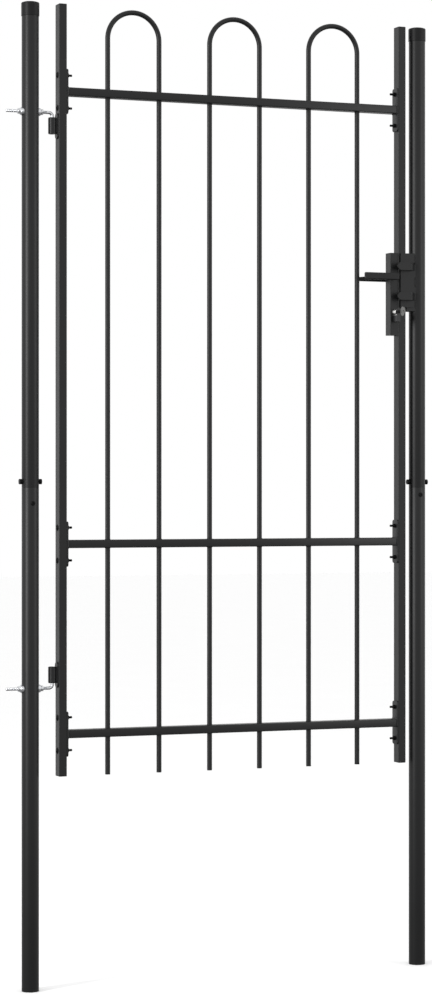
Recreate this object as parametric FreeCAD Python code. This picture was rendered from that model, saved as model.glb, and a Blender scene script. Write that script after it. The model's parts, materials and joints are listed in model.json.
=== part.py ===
import FreeCAD, Part
import math
import os

# Garden gate: two round posts, a leaf of three hairpin hoops held by three rails between two uprights,
# two rod hinges, a narrow box lock with levers and a key cylinder, and a keep on the lock post.
# Millimetres. Origin at the centre of the hinge post's foot, +X towards the lock post, +Z up,
# +Y towards the side that the leaf opens to. The keep's stop plate is on the -Y side.

Vector = FreeCAD.Vector
X_AXIS = Vector(1, 0, 0)
Y_AXIS = Vector(0, 1, 0)
Z_AXIS = Vector(0, 0, 1)

# Overall
CLEAR_WIDTH = 1000.0        # between the two posts
LEAF_FOOT = 518.0           # leaf's lower end above the posts' feet
LEAF_HEIGHT = 1880.5

# Posts
POST_RADIUS = 21.0
POST_WALL = 2.0
JOINT_HEIGHT = 1221.0       # where the two lengths of a post meet
SLEEVE_LENGTH = 220.0
SLEEVE_WALL = 2.0
SLEEVE_CLEARANCE = 0.25
CAP_WALL = 1.0
CAP_SKIRT = 31.0
CAP_CROWN_RISE = 4.3
CAP_CROWN_RADIUS = 8.5
CAP_SHOULDER_RADIUS = 20.5
CAP_FIT = 0.1

# Fasteners across the posts' joints
SLEEVE_BOLT_RISE = 14.5     # above the joint
SLEEVE_BOLT_RADIUS = 4.0
SLEEVE_BOLT_FLATS = 13.0
SLEEVE_BOLT_HEAD = 7.2
HINGE_SCREW_DROP = 38.0     # below the joint, on the hinge post
LOCK_SCREW_DROP = 18.0      # below the joint, on the lock post
SCREW_RADIUS = 3.0
SCREW_HEAD_RADIUS = 5.6
SCREW_HEAD_HEIGHT = 3.0
SCREW_SOCKET_FLATS = 4.0
SCREW_SOCKET_DEPTH = 1.8
SCREW_LENGTH = 14.0
HOLE_CLEARANCE = 0.25

# Uprights and rails
TUBE_WIDTH = 20.0           # uprights along X, rails along Z
TUBE_DEPTH = 30.0           # along Y
TUBE_WALL = 1.5
TUBE_CORNER = 2.0
HINGE_GAP = 48.0            # hinge post to hinge upright
LOCK_GAP = 18.0             # lock upright to lock post
PLUG_FLANGE = 3.0
PLUG_STEM = 12.0
PLUG_CLEARANCE = 0.2
BOTTOM_RAIL_RISE = 102.8    # rail's centre above the leaf's lower end
MIDDLE_RAIL_RISE = 565.5
TOP_RAIL_DROP = 213.0       # rail's centre below the leaf's top
PLATE_THICKNESS = 4.0
PLATE_LENGTH = 110.0
PLATE_CORNER = 6.0
PLATE_BOLT_SPACING = 80.0
FRAME_BOLT_RADIUS = 3.0
FRAME_BOLT_HEAD_RADIUS = 8.2
FRAME_BOLT_HEAD_RISE = 3.4
FRAME_BOLT_BEYOND_PLATE = 13.6
FRAME_NUT_FLATS = 10.0
FRAME_NUT_HEIGHT = 5.0

# Hoops
BAR_RADIUS = 6.25
BAR_WALL = 1.0
END_SPACE = 120.4           # upright's centre to the nearest bar's centre
HOOP_COUNT = 3
HOOP_PLUG_FLANGE = 1.5
HOOP_PLUG_STEM = 8.0

# Hinges
HINGE_ROD_RADIUS = 4.0
HINGE_ROD_BEND = 9.0
HINGE_ROD_FREE_END = 41.0   # beyond the post, away from the leaf
HINGE_HEIGHT_FROM_FOOT = 215.5
HINGE_DROP_FROM_TOP = 265.5
BARREL_RADIUS = 10.0
BARREL_LENGTH = 40.0
BARREL_STANDOFF = 12.0      # rod's horizontal axis to the barrel's nearer end
BARREL_BORE = 6.5
BUSH_FLANGE = 1.5
BUSH_FLANGE_RADIUS = 9.0
BUSH_LENGTH = 12.0
BUSH_CLEARANCE = 0.06
BARREL_PLATE_THICKNESS = 3.0
BARREL_PLATE_WIDTH = 20.0
BARREL_PLATE_LENGTH = 62.0
SADDLE_RADIUS = 10.0
SADDLE_RISE = 3.0
HINGE_NUT_FLATS = 13.0
HINGE_NUT_HEIGHT = 8.0
HINGE_NUT_FLANGE_RADIUS = 8.9
HINGE_NUT_FLANGE = 1.6

# Lock
LOCK_WIDTH = 23.0
LOCK_DEPTH = 28.0
LOCK_HEIGHT = 210.0
LOCK_WALL = 1.5
LOCK_FOLD = LOCK_WALL + 0.5
LEVER_DROP = 640.5          # spindle's axis below the leaf's top
LOCK_TOP_RISE = 61.5        # case's top above the spindle
SPINDLE_BACKSET = 15.5      # upright's face to the spindle's axis
CYLINDER_BACKSET = 10.5
CYLINDER_DROP = 90.0        # spindle to cylinder
LATCH_RISE = 27.0
DEAD_BOLT_DROP = 49.0
WINDOW_CLEARANCE = 0.8
COVER_BOSS = 7.0
COVER_SCREW_RADIUS = 1.5
COVER_SCREW_HEAD_RADIUS = 3.0
COVER_SCREW_LENGTH = 12.0

SPINDLE_SIDE = 6.0
SPINDLE_FIT = 0.1
SPINDLE_PROUD = 16.0        # beyond the case's faces
SPINDLE_BUSH_RADIUS = 5.5
SPINDLE_BUSH_BORE = 4.6
SPINDLE_BUSH_FLANGE_RADIUS = 6.5
SPINDLE_BUSH_FLANGE = 0.8
NECK_RADIUS = 7.0
NECK_GAP = 0.3              # neck's end to the bush
GRIP_STANDOFF = 15.5        # case's face to the grip's inner face
GRIP_THICKNESS = 9.0
FRONT_GRIP_HEIGHT = 17.5
BACK_GRIP_HEIGHT = 19.0
BACK_GRIP_TIP_HEIGHT = 10.5
GRIP_CORNER = 2.5
FRONT_GRIP_REACH = 88.5     # spindle's axis to the grip's tip
BACK_GRIP_REACH = 75.5
LEVER_SCREW_RADIUS = 2.0
LEVER_SCREW_LENGTH = 4.0

FOLLOWER_HUB_RADIUS = 5.0
FOLLOWER_ARM = 20.0
FOLLOWER_ARM_WIDTH = 3.0
FOLLOWER_ARM_THICKNESS = 4.0
FOLLOWER_LEAN_DEG = 35.0
SPRING_WIRE_RADIUS = 0.3
SPRING_TURNS = 3.0
SPRING_PITCH = 1.2
SPRING_START = 4.0

LATCH_HEIGHT = 16.0
LATCH_THICKNESS = 12.0
LATCH_REACH = 11.5          # beyond the upright's outer face, the same as its travel
LATCH_TRAVEL = 11.5
LATCH_BEVEL = 8.0
LATCH_LUG = 3.0
LATCH_LUG_GAP = 1.0
LATCH_LUG_ENGAGEMENT = 1.9
LATCH_TAIL_CLEARANCE = 1.0
DEAD_BOLT_HEIGHT = 14.0
DEAD_BOLT_THICKNESS = 10.0
DEAD_BOLT_TAIL = 3.0
DEAD_BOLT_TAIL_THICKNESS = 8.0
DEAD_BOLT_TAIL_GAP = 1.5    # above the cam's nose
DEAD_BOLT_RECESS = 0.5      # tip behind the upright's outer face at rest

CYLINDER_RADIUS = 8.5
CYLINDER_TAIL_WIDTH = 10.0
CYLINDER_TAIL_DROP = 24.5
CYLINDER_PROUD = 22.5       # beyond the case's front
CYLINDER_REAR_PROUD = 3.0   # beyond the cover
PLUG_RADIUS = 6.5
PLUG_RUNNING_FIT = 0.05
CAM_THICKNESS = 9.0
CAM_GAP = 0.5
CAM_RADIUS = 7.0
CAM_NOSE_REACH = 8.2
CAM_NOSE_WIDTH = 4.0
CYLINDER_SCREW_DROP = 19.0
CYLINDER_SCREW_RADIUS = 2.45
CYLINDER_SCREW_HEAD_RADIUS = 4.5
CYLINDER_SCREW_HEAD = 1.2
KEY_THICKNESS = 2.2
KEY_BLADE_HEIGHT = 7.0
KEY_FIT = 0.25
KEY_IN_PLUG = 26.0
KEYWAY_DEPTH = 30.0
KEY_NECK = 13.0             # cylinder's face to the bow
KEY_BOW_RADIUS = 12.0
KEY_BOW_HOLE = 3.0
KEY_CUT_DEPTHS = (1.6, 0.8, 2.0, 1.2, 1.8)
KEY_CUT_PITCH = 4.2

# Keep
KEEP_WALL = 2.0
KEEP_FOLD = KEEP_WALL + 1.0
KEEP_GAP = 2.0              # lock upright to the keep's web
STOP_GAP = 2.0              # upright's front to the stop plate
KEEP_TOP_RISE = 61.0        # above the spindle
KEEP_HEIGHT = 147.0
STOP_PLATE_THICKNESS = 3.0
STOP_PLATE_SHORTER = 9.0    # plate ends this much above the box's lower end
STOP_PLATE_OVERLAP = 17.0   # over the lock upright
STOP_PLATE_PAST_POST = 1.0
FINGER_HEIGHT = 20.0
FINGER_THICKNESS = 5.0
FINGER_STANDOFF = 16.0      # stop plate's front to the finger's outer face
FINGER_REACH = 50.0         # from the post's flank to the finger's rounded end
FINGER_BEND = 13.0          # where the finger turns towards the post, from the post's flank
FINGER_BEND_DEG = 45.0
BUFFER_WIDTH = 12.0
BUFFER_HEIGHT = 24.0
BUFFER_INSET = 1.0
BUFFER_GAP = 0.3

# Worked out from the sizes above
POST_SPACING = CLEAR_WIDTH + 2 * POST_RADIUS
LEAF_TOP = LEAF_FOOT + LEAF_HEIGHT
TUBE_TOP = LEAF_TOP - PLUG_FLANGE
POST_TOP = TUBE_TOP
LEAF_LEFT = POST_RADIUS + HINGE_GAP
LEAF_RIGHT = POST_SPACING - POST_RADIUS - LOCK_GAP
RAIL_HEIGHTS = {
    "bottom_rail": LEAF_FOOT + BOTTOM_RAIL_RISE,
    "middle_rail": LEAF_FOOT + MIDDLE_RAIL_RISE,
    "top_rail": LEAF_TOP - TOP_RAIL_DROP,
}
RAIL_LEFT = LEAF_LEFT + TUBE_WIDTH + PLATE_THICKNESS
RAIL_RIGHT = LEAF_RIGHT - TUBE_WIDTH - PLATE_THICKNESS
BAR_COUNT = 2 * HOOP_COUNT
FIRST_BAR = LEAF_LEFT + TUBE_WIDTH / 2 + END_SPACE
LAST_BAR = LEAF_RIGHT - TUBE_WIDTH / 2 - END_SPACE
BAR_PITCH = (LAST_BAR - FIRST_BAR) / (BAR_COUNT - 1)
BAR_CENTRES = [FIRST_BAR + i * BAR_PITCH for i in range(BAR_COUNT)]
HINGE_X = LEAF_LEFT - BARREL_PLATE_THICKNESS - BARREL_RADIUS
UPPER_HINGE_Z = LEAF_TOP - HINGE_DROP_FROM_TOP
LOWER_HINGE_Z = LEAF_FOOT + HINGE_HEIGHT_FROM_FOOT
LOCK_FACE_X = LEAF_RIGHT - TUBE_WIDTH
LOCK_LEFT = LOCK_FACE_X - LOCK_WIDTH
SPINDLE_X = LOCK_FACE_X - SPINDLE_BACKSET
SPINDLE_Z = LEAF_TOP - LEVER_DROP
CYLINDER_X = LOCK_FACE_X - CYLINDER_BACKSET
CYLINDER_Z = SPINDLE_Z - CYLINDER_DROP
LOCK_TOP = SPINDLE_Z + LOCK_TOP_RISE
LOCK_BOTTOM = LOCK_TOP - LOCK_HEIGHT
LOCK_HALF = LOCK_DEPTH / 2
LATCH_Z = SPINDLE_Z + LATCH_RISE
DEAD_BOLT_Z = SPINDLE_Z - DEAD_BOLT_DROP
POST_FLANK_X = POST_SPACING - POST_RADIUS
KEEP_TOP = SPINDLE_Z + KEEP_TOP_RISE
KEEP_BOTTOM = KEEP_TOP - KEEP_HEIGHT
KEEP_WEB_X = LEAF_RIGHT + KEEP_GAP
KEEP_HALF_DEPTH = TUBE_DEPTH / 2 + STOP_GAP
STOP_PLATE_FACE = -KEEP_HALF_DEPTH - STOP_PLATE_THICKNESS
SPINDLE_END = LOCK_HALF + SPINDLE_PROUD
GRIP_NEAR = LOCK_HALF + GRIP_STANDOFF
CYLINDER_HALF_LENGTH = LOCK_HALF + CYLINDER_PROUD
CYLINDER_REAR_LENGTH = LOCK_HALF + CYLINDER_REAR_PROUD
SPRING_COIL_RADIUS = FOLLOWER_HUB_RADIUS + SPRING_WIRE_RADIUS


def box(x0, x1, y0, y1, z0, z1):
    return Part.makeBox(x1 - x0, y1 - y0, z1 - z0, Vector(x0, y0, z0))


def rod(radius, start, length, direction):
    return Part.makeCylinder(radius, length, start, direction)


def hollow_rod(radius, wall, start, length, direction):
    return rod(radius, start, length, direction).cut(rod(radius - wall, start, length, direction))


def prism(points, direction):
    """A closed outline of points carried along a direction."""
    return Part.Face(Part.makePolygon(points + [points[0]])).extrude(direction)


def hexagon(flats, start, length, direction):
    """A hexagonal prism, flats across, that begins at start."""
    radius = flats / math.sqrt(3)
    across = X_AXIS if abs(direction.dot(X_AXIS)) < 0.5 else Y_AXIS
    third = direction.cross(across)
    corners = [
        start + across * (radius * math.cos(k * math.pi / 3)) + third * (radius * math.sin(k * math.pi / 3))
        for k in range(6)
    ]
    return prism(corners, direction * length)


def rounded_bar(x0, x1, y0, y1, z0, z1, corner, axis):
    """A box whose four edges along an axis are rounded."""
    solid = box(x0, x1, y0, y1, z0, z1)
    along = [e for e in solid.Edges if abs(e.tangentAt(e.FirstParameter).dot(axis)) > 0.99]
    return solid.makeFillet(corner, along)


def bend(radius, centre, spoke, axis, angle_deg):
    """A round rod's curved stretch: a disc at the spoke's end, turned about an axis through centre."""
    outline = Part.makeCircle(radius, centre + spoke, axis.cross(spoke))
    return Part.Face(Part.Wire(outline)).revolve(centre, axis, angle_deg)


def group(solids):
    return Part.makeCompound(solids)


def write(name, shape):
    shape.exportStep(os.path.join("parts", name + ".step"))


# --- Posts ---------------------------------------------------------------------------------------

def post_axis(post):
    return 0.0 if post == "hinge" else POST_SPACING


def screw_drop(post):
    return HINGE_SCREW_DROP if post == "hinge" else LOCK_SCREW_DROP


def joint_holes(post):
    """Drillings for the through bolt, along X, and for the screw, from the -Y side."""
    x = post_axis(post)
    bolt = rod(
        SLEEVE_BOLT_RADIUS + HOLE_CLEARANCE,
        Vector(x - 2 * POST_RADIUS, 0, JOINT_HEIGHT + SLEEVE_BOLT_RISE),
        4 * POST_RADIUS,
        X_AXIS,
    )
    screw = rod(
        SCREW_RADIUS + HOLE_CLEARANCE,
        Vector(x, -2 * POST_RADIUS, JOINT_HEIGHT - screw_drop(post)),
        2 * POST_RADIUS,
        Y_AXIS,
    )
    return bolt.fuse(screw)


def hinge_rod_hole(height):
    radius = HINGE_ROD_RADIUS + HOLE_CLEARANCE
    return rod(radius, Vector(-2 * POST_RADIUS, 0, height), 4 * POST_RADIUS, X_AXIS)


def post_length(post, low, high):
    x = post_axis(post)
    tube = hollow_rod(POST_RADIUS, POST_WALL, Vector(x, 0, low), high - low, Z_AXIS)
    tube = tube.cut(joint_holes(post))
    if post == "hinge":
        for height in (UPPER_HINGE_Z, LOWER_HINGE_Z):
            if low < height < high:
                tube = tube.cut(hinge_rod_hole(height))
    return tube


def post_sleeve(post):
    x = post_axis(post)
    radius = POST_RADIUS - POST_WALL - SLEEVE_CLEARANCE
    start = Vector(x, 0, JOINT_HEIGHT - SLEEVE_LENGTH / 2)
    sleeve = hollow_rod(radius, SLEEVE_WALL, start, SLEEVE_LENGTH, Z_AXIS)
    return sleeve.cut(joint_holes(post))


def post_cap(post):
    """A skirted cap: flat crown, sloping shoulder, rounded rim."""
    x = post_axis(post)
    inner = POST_RADIUS + CAP_FIT
    outer = inner + CAP_WALL
    top = POST_TOP + CAP_CROWN_RISE
    rim = POST_TOP - CAP_WALL
    shoulder = POST_TOP + CAP_WALL
    outline = [
        Vector(x, 0, top),
        Vector(x + CAP_CROWN_RADIUS, 0, top),
        Vector(x + CAP_SHOULDER_RADIUS, 0, shoulder),
        Vector(x + outer, 0, rim),
        Vector(x + outer, 0, POST_TOP - CAP_SKIRT),
        Vector(x + inner, 0, POST_TOP - CAP_SKIRT),
        Vector(x + inner, 0, POST_TOP + CAP_FIT),
        Vector(x, 0, POST_TOP + CAP_FIT),
    ]
    face = Part.Face(Part.makePolygon(outline + [outline[0]]))
    return face.revolve(Vector(x, 0, 0), Z_AXIS, 360)


def outward(post):
    """The bolt's head is on the side away from the leaf."""
    return X_AXIS * (-1 if post == "hinge" else 1)


def sleeve_bolt(post):
    out = outward(post)
    centre = Vector(post_axis(post), 0, JOINT_HEIGHT + SLEEVE_BOLT_RISE)
    head = hexagon(SLEEVE_BOLT_FLATS, centre + out * POST_RADIUS, SLEEVE_BOLT_HEAD, out)
    shank_length = 2 * POST_RADIUS + SLEEVE_BOLT_HEAD
    shank = rod(SLEEVE_BOLT_RADIUS, centre + out * POST_RADIUS, shank_length, out * -1)
    return head.fuse(shank)


def sleeve_nut(post):
    out = outward(post)
    centre = Vector(post_axis(post), 0, JOINT_HEIGHT + SLEEVE_BOLT_RISE)
    start = centre - out * POST_RADIUS
    nut = hexagon(SLEEVE_BOLT_FLATS, start, SLEEVE_BOLT_HEAD, out * -1)
    return nut.cut(rod(SLEEVE_BOLT_RADIUS, start, SLEEVE_BOLT_HEAD, out * -1))


def sleeve_screw(post):
    """Button head with a hexagon socket, screwed in from the -Y side."""
    z = JOINT_HEIGHT - screw_drop(post)
    seat = Vector(post_axis(post), -POST_RADIUS, z)
    top = seat - Y_AXIS * SCREW_HEAD_HEIGHT
    head = Part.makeCone(SCREW_HEAD_RADIUS, SCREW_HEAD_RADIUS / 2, SCREW_HEAD_HEIGHT, seat, Y_AXIS * -1)
    head = head.cut(hexagon(SCREW_SOCKET_FLATS, top, SCREW_SOCKET_DEPTH, Y_AXIS))
    return head.fuse(rod(SCREW_RADIUS, seat, SCREW_LENGTH, Y_AXIS))


# --- Hinges --------------------------------------------------------------------------------------

def hinge_rod(height, turn):
    """A rod through the post that bends by a quarter turn into the barrel; turn is -1 down, 1 up."""
    start = Vector(-POST_RADIUS - HINGE_ROD_FREE_END, 0, height)
    centre = Vector(HINGE_X - HINGE_ROD_BEND, 0, height + turn * HINGE_ROD_BEND)
    spoke = Z_AXIS * (-turn * HINGE_ROD_BEND)
    pin_start = Vector(HINGE_X, 0, centre.z)
    pin_length = BARREL_STANDOFF + BARREL_LENGTH - BUSH_FLANGE - HINGE_ROD_BEND
    straight = rod(HINGE_ROD_RADIUS, start, centre.x - start.x, X_AXIS)
    curve = bend(HINGE_ROD_RADIUS, centre, spoke, Y_AXIS * -turn, 90)
    pin = rod(HINGE_ROD_RADIUS, pin_start, pin_length, Z_AXIS * turn)
    return straight.fuse(curve).fuse(pin)


def hinge_sides():
    for height in (UPPER_HINGE_Z, LOWER_HINGE_Z):
        for side in (-1, 1):
            yield height, X_AXIS * side


def hinge_saddle(height, out):
    """A washer, flat outside and hollowed to the post's round inside."""
    centre = Vector(0, 0, height)
    blank = rod(SADDLE_RADIUS, centre, POST_RADIUS + SADDLE_RISE, out)
    post = rod(POST_RADIUS, Vector(0, 0, height - 2 * SADDLE_RADIUS), 4 * SADDLE_RADIUS, Z_AXIS)
    hole = rod(HINGE_ROD_RADIUS + HOLE_CLEARANCE, centre, 2 * POST_RADIUS, out)
    return blank.cut(post).cut(hole)


def hinge_nut(height, out):
    start = Vector(0, 0, height) + out * (POST_RADIUS + SADDLE_RISE)
    nut = hexagon(HINGE_NUT_FLATS, start, HINGE_NUT_HEIGHT, out)
    nut = nut.fuse(rod(HINGE_NUT_FLANGE_RADIUS, start, HINGE_NUT_FLANGE, out))
    return nut.cut(rod(HINGE_ROD_RADIUS, start, HINGE_NUT_HEIGHT, out))


def barrel_span(height, turn):
    """Lower and upper end of the barrel that belongs to a hinge rod."""
    near = height + turn * BARREL_STANDOFF
    far = near + turn * BARREL_LENGTH
    return min(near, far), max(near, far)


def hinge_barrel(height, turn):
    low, high = barrel_span(height, turn)
    start = Vector(HINGE_X, 0, low + BUSH_FLANGE)
    length = high - low - 2 * BUSH_FLANGE
    return hollow_rod(BARREL_RADIUS, BARREL_RADIUS - BARREL_BORE, start, length, Z_AXIS)


def barrel_plate(height, turn):
    """A flat plate with round ends between barrel and upright."""
    low, high = barrel_span(height, turn)
    middle = (low + high) / 2
    half = BARREL_PLATE_LENGTH / 2
    end = BARREL_PLATE_WIDTH / 2
    x = LEAF_LEFT - BARREL_PLATE_THICKNESS
    plate = box(x, LEAF_LEFT, -end, end, middle - half + end, middle + half - end)
    for z in (middle - half + end, middle + half - end):
        plate = plate.fuse(rod(end, Vector(x, 0, z), BARREL_PLATE_THICKNESS, X_AXIS))
    return plate.removeSplitter()


def barrel_bush(end_z, inward):
    """A flanged plastic bush at one end of a barrel; inward points into the barrel."""
    start = Vector(HINGE_X, 0, end_z)
    bore = HINGE_ROD_RADIUS + BUSH_CLEARANCE
    bush = rod(BUSH_FLANGE_RADIUS, start, BUSH_FLANGE, inward)
    bush = bush.fuse(rod(BARREL_BORE, start, BUSH_LENGTH, inward))
    return bush.cut(rod(bore, start, BUSH_LENGTH, inward))


# --- Leaf ----------------------------------------------------------------------------------------

def rail_bolt_heights():
    for z in RAIL_HEIGHTS.values():
        yield z - PLATE_BOLT_SPACING / 2
        yield z + PLATE_BOLT_SPACING / 2


def upright(left):
    """Rectangular tube, drilled for the frame bolts."""
    right = left + TUBE_WIDTH
    half = TUBE_DEPTH / 2
    low = LEAF_FOOT + PLUG_FLANGE
    tube = rounded_bar(left, right, -half, half, low, TUBE_TOP, TUBE_CORNER, Z_AXIS)
    wall = TUBE_WALL
    tube = tube.cut(box(left + wall, right - wall, wall - half, half - wall, low, TUBE_TOP))
    for z in rail_bolt_heights():
        hole = rod(FRAME_BOLT_RADIUS + HOLE_CLEARANCE, Vector(left - 1, 0, z), TUBE_WIDTH + 2, X_AXIS)
        tube = tube.cut(hole)
    return tube


def bolt_window(z, height, thickness):
    """The cut that a lock bolt slides through, from inside the case to beyond the upright."""
    half = thickness / 2 + WINDOW_CLEARANCE
    rise = height / 2 + WINDOW_CLEARANCE
    return box(LOCK_FACE_X - LOCK_WALL - 1, LEAF_RIGHT + 1, -half, half, z - rise, z + rise)


def lock_windows():
    latch = bolt_window(LATCH_Z, LATCH_HEIGHT, LATCH_THICKNESS)
    return latch.fuse(bolt_window(DEAD_BOLT_Z, DEAD_BOLT_HEIGHT, DEAD_BOLT_THICKNESS))


def cylinder_screw_hole():
    z = CYLINDER_Z - CYLINDER_SCREW_DROP
    start = Vector(LOCK_FACE_X - LOCK_WALL - 1, 0, z)
    return rod(CYLINDER_SCREW_RADIUS + HOLE_CLEARANCE, start, TUBE_WIDTH + LOCK_WALL + 2, X_AXIS)


def lock_upright():
    return upright(LOCK_FACE_X).cut(lock_windows()).cut(cylinder_screw_hole())


def upright_plug(left, end_z, inward):
    """Flange over the tube's end and a stem inside it; inward is 1 upwards, -1 downwards."""
    half = TUBE_DEPTH / 2
    inset = TUBE_WALL + PLUG_CLEARANCE
    seat = end_z + inward * PLUG_FLANGE
    stem_end = seat + inward * PLUG_STEM
    flange_z = sorted((end_z, seat))
    stem_z = sorted((seat, stem_end))
    right = left + TUBE_WIDTH
    flange = rounded_bar(left, right, -half, half, flange_z[0], flange_z[1], TUBE_CORNER, Z_AXIS)
    stem = box(left + inset, right - inset, inset - half, half - inset, stem_z[0], stem_z[1])
    return flange.fuse(stem)


def bar_holes(low, high):
    return group([rod(BAR_RADIUS, Vector(x, 0, low), high - low, Z_AXIS) for x in BAR_CENTRES])


def rail(z):
    half = TUBE_DEPTH / 2
    rise = TUBE_WIDTH / 2
    wall = TUBE_WALL
    tube = rounded_bar(RAIL_LEFT, RAIL_RIGHT, -half, half, z - rise, z + rise, TUBE_CORNER, X_AXIS)
    bore = box(RAIL_LEFT, RAIL_RIGHT, wall - half, half - wall, z - rise + wall, z + rise - wall)
    return tube.cut(bore).cut(bar_holes(z - rise - 1, z + rise + 1))


def rail_end_plate(left, z):
    half = TUBE_DEPTH / 2
    rise = PLATE_LENGTH / 2
    right = left + PLATE_THICKNESS
    plate = rounded_bar(left, right, -half, half, z - rise, z + rise, PLATE_CORNER, X_AXIS)
    for side in (-1, 1):
        centre = Vector(left - 1, 0, z + side * PLATE_BOLT_SPACING / 2)
        hole = rod(FRAME_BOLT_RADIUS + HOLE_CLEARANCE, centre, PLATE_THICKNESS + 2, X_AXIS)
        plate = plate.cut(hole)
    return plate


def frame_bolt(head_x, z, inward):
    """Domed head against the upright's outer face, shank through the upright and the end plate."""
    seat = Vector(head_x, 0, z)
    length = TUBE_WIDTH + PLATE_THICKNESS + FRAME_BOLT_BEYOND_PLATE
    rise = FRAME_BOLT_HEAD_RISE
    dome_radius = (FRAME_BOLT_HEAD_RADIUS ** 2 + rise ** 2) / (2 * rise)
    centre = seat + inward * (dome_radius - rise)
    ball = Part.makeSphere(dome_radius, centre)
    head = ball.common(rod(FRAME_BOLT_HEAD_RADIUS, seat, rise, inward * -1))
    return head.fuse(rod(FRAME_BOLT_RADIUS, seat, length, inward))


def frame_nut(head_x, z, inward):
    start = Vector(head_x, 0, z) + inward * (TUBE_WIDTH + PLATE_THICKNESS)
    nut = hexagon(FRAME_NUT_FLATS, start, FRAME_NUT_HEIGHT, inward)
    return nut.cut(rod(FRAME_BOLT_RADIUS, start, FRAME_NUT_HEIGHT, inward))


def frame_bolt_places():
    for z in rail_bolt_heights():
        yield LEAF_LEFT, z, X_AXIS
        yield LEAF_RIGHT, z, X_AXIS * -1


def hairpin(radius, left, right):
    """Two upright rods joined by a half circle at the top."""
    half = (right - left) / 2
    low = LEAF_FOOT + HOOP_PLUG_FLANGE
    centre = Vector(left + half, 0, TUBE_TOP - BAR_RADIUS - half)
    curve = bend(radius, centre, X_AXIS * half, Y_AXIS * -1, 180)
    for x in (left, right):
        curve = curve.fuse(rod(radius, Vector(x, 0, low), centre.z - low, Z_AXIS))
    return curve


def hoop(index):
    """A round tube bent into a hairpin, whose two legs are neighbouring bars."""
    left = BAR_CENTRES[2 * index]
    right = BAR_CENTRES[2 * index + 1]
    return hairpin(BAR_RADIUS, left, right).cut(hairpin(BAR_RADIUS - BAR_WALL, left, right))


def hoop_plug(x):
    start = Vector(x, 0, LEAF_FOOT)
    stem = BAR_RADIUS - BAR_WALL - PLUG_CLEARANCE
    plug = rod(BAR_RADIUS, start, HOOP_PLUG_FLANGE, Z_AXIS)
    return plug.fuse(rod(stem, start, HOOP_PLUG_FLANGE + HOOP_PLUG_STEM, Z_AXIS))


# --- Lock ----------------------------------------------------------------------------------------

def cylinder_outline(clearance, y0, y1):
    """The cylinder's cross-section, a round head over a straight tail, from y0 to y1."""
    radius = CYLINDER_RADIUS + clearance
    half = CYLINDER_TAIL_WIDTH / 2 + clearance
    centre = Vector(CYLINDER_X, y0, CYLINDER_Z)
    head = rod(radius, centre, y1 - y0, Y_AXIS)
    low = CYLINDER_Z - CYLINDER_TAIL_DROP - clearance
    tail = box(CYLINDER_X - half, CYLINDER_X + half, y0, y1, low, CYLINDER_Z)
    return head.fuse(tail).removeSplitter()


def cover_screw_centres():
    inset = LOCK_WALL + COVER_BOSS / 2
    for z in (LOCK_BOTTOM + inset, LOCK_TOP - inset):
        yield Vector(LOCK_LEFT + LOCK_WIDTH / 2, 0, z)


def lock_openings():
    """What both broad faces of the lock are cut for: the spindle's bush and the cylinder."""
    centre = Vector(SPINDLE_X, -LOCK_DEPTH, SPINDLE_Z)
    bush = rod(SPINDLE_BUSH_RADIUS, centre, 2 * LOCK_DEPTH, Y_AXIS)
    return bush.fuse(cylinder_outline(PLUG_CLEARANCE, -LOCK_DEPTH, LOCK_DEPTH))


def lock_case():
    """An open-backed box, folded at its front's free edge, with a boss at each end for the cover's screws."""
    back = LOCK_HALF - LOCK_WALL
    wall = LOCK_WALL
    case = box(LOCK_LEFT, LOCK_FACE_X, -LOCK_HALF, back, LOCK_BOTTOM, LOCK_TOP)
    right = LOCK_FACE_X + LOCK_FOLD
    deep = LOCK_HALF + LOCK_FOLD
    folded = rounded_bar(LOCK_LEFT, right, -LOCK_HALF, deep, LOCK_BOTTOM, LOCK_TOP, LOCK_FOLD, Z_AXIS)
    case = case.common(folded)
    hollow = box(
        LOCK_LEFT + wall, LOCK_FACE_X - wall, wall - LOCK_HALF, back, LOCK_BOTTOM + wall, LOCK_TOP - wall
    )
    case = case.cut(hollow)
    for centre in cover_screw_centres():
        half = COVER_BOSS / 2
        x = centre.x
        z = centre.z
        case = case.fuse(box(x - half, x + half, wall - LOCK_HALF, back, z - half, z + half))
        start = Vector(x, back - COVER_SCREW_LENGTH, z)
        case = case.cut(rod(COVER_SCREW_RADIUS, start, COVER_SCREW_LENGTH, Y_AXIS))
    return case.cut(lock_openings()).cut(lock_windows()).cut(cylinder_screw_hole())


def cover_countersink(centre):
    seat = Vector(centre.x, LOCK_HALF, centre.z)
    return Part.makeCone(COVER_SCREW_HEAD_RADIUS, COVER_SCREW_RADIUS, LOCK_WALL, seat, Y_AXIS * -1)


def lock_cover():
    cover = box(LOCK_LEFT, LOCK_FACE_X, LOCK_HALF - LOCK_WALL, LOCK_HALF, LOCK_BOTTOM, LOCK_TOP)
    for centre in cover_screw_centres():
        cover = cover.cut(cover_countersink(centre))
    return cover.cut(lock_openings())


def cover_screw(centre):
    start = Vector(centre.x, LOCK_HALF, centre.z)
    shank = rod(COVER_SCREW_RADIUS, start, LOCK_WALL + COVER_SCREW_LENGTH - 1, Y_AXIS * -1)
    return cover_countersink(centre).fuse(shank)


def spindle_bush(side):
    out = Y_AXIS * side
    face = Vector(SPINDLE_X, side * LOCK_HALF, SPINDLE_Z)
    bush = rod(SPINDLE_BUSH_FLANGE_RADIUS, face, SPINDLE_BUSH_FLANGE, out)
    bush = bush.fuse(rod(SPINDLE_BUSH_RADIUS, face, LOCK_WALL, out * -1))
    bore = rod(SPINDLE_BUSH_BORE, face + out * SPINDLE_BUSH_FLANGE, SPINDLE_BUSH_FLANGE + LOCK_WALL, out * -1)
    return bush.cut(bore)


def square_bar(side, y0, y1):
    half = side / 2
    return box(SPINDLE_X - half, SPINDLE_X + half, y0, y1, SPINDLE_Z - half, SPINDLE_Z + half)


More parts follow.
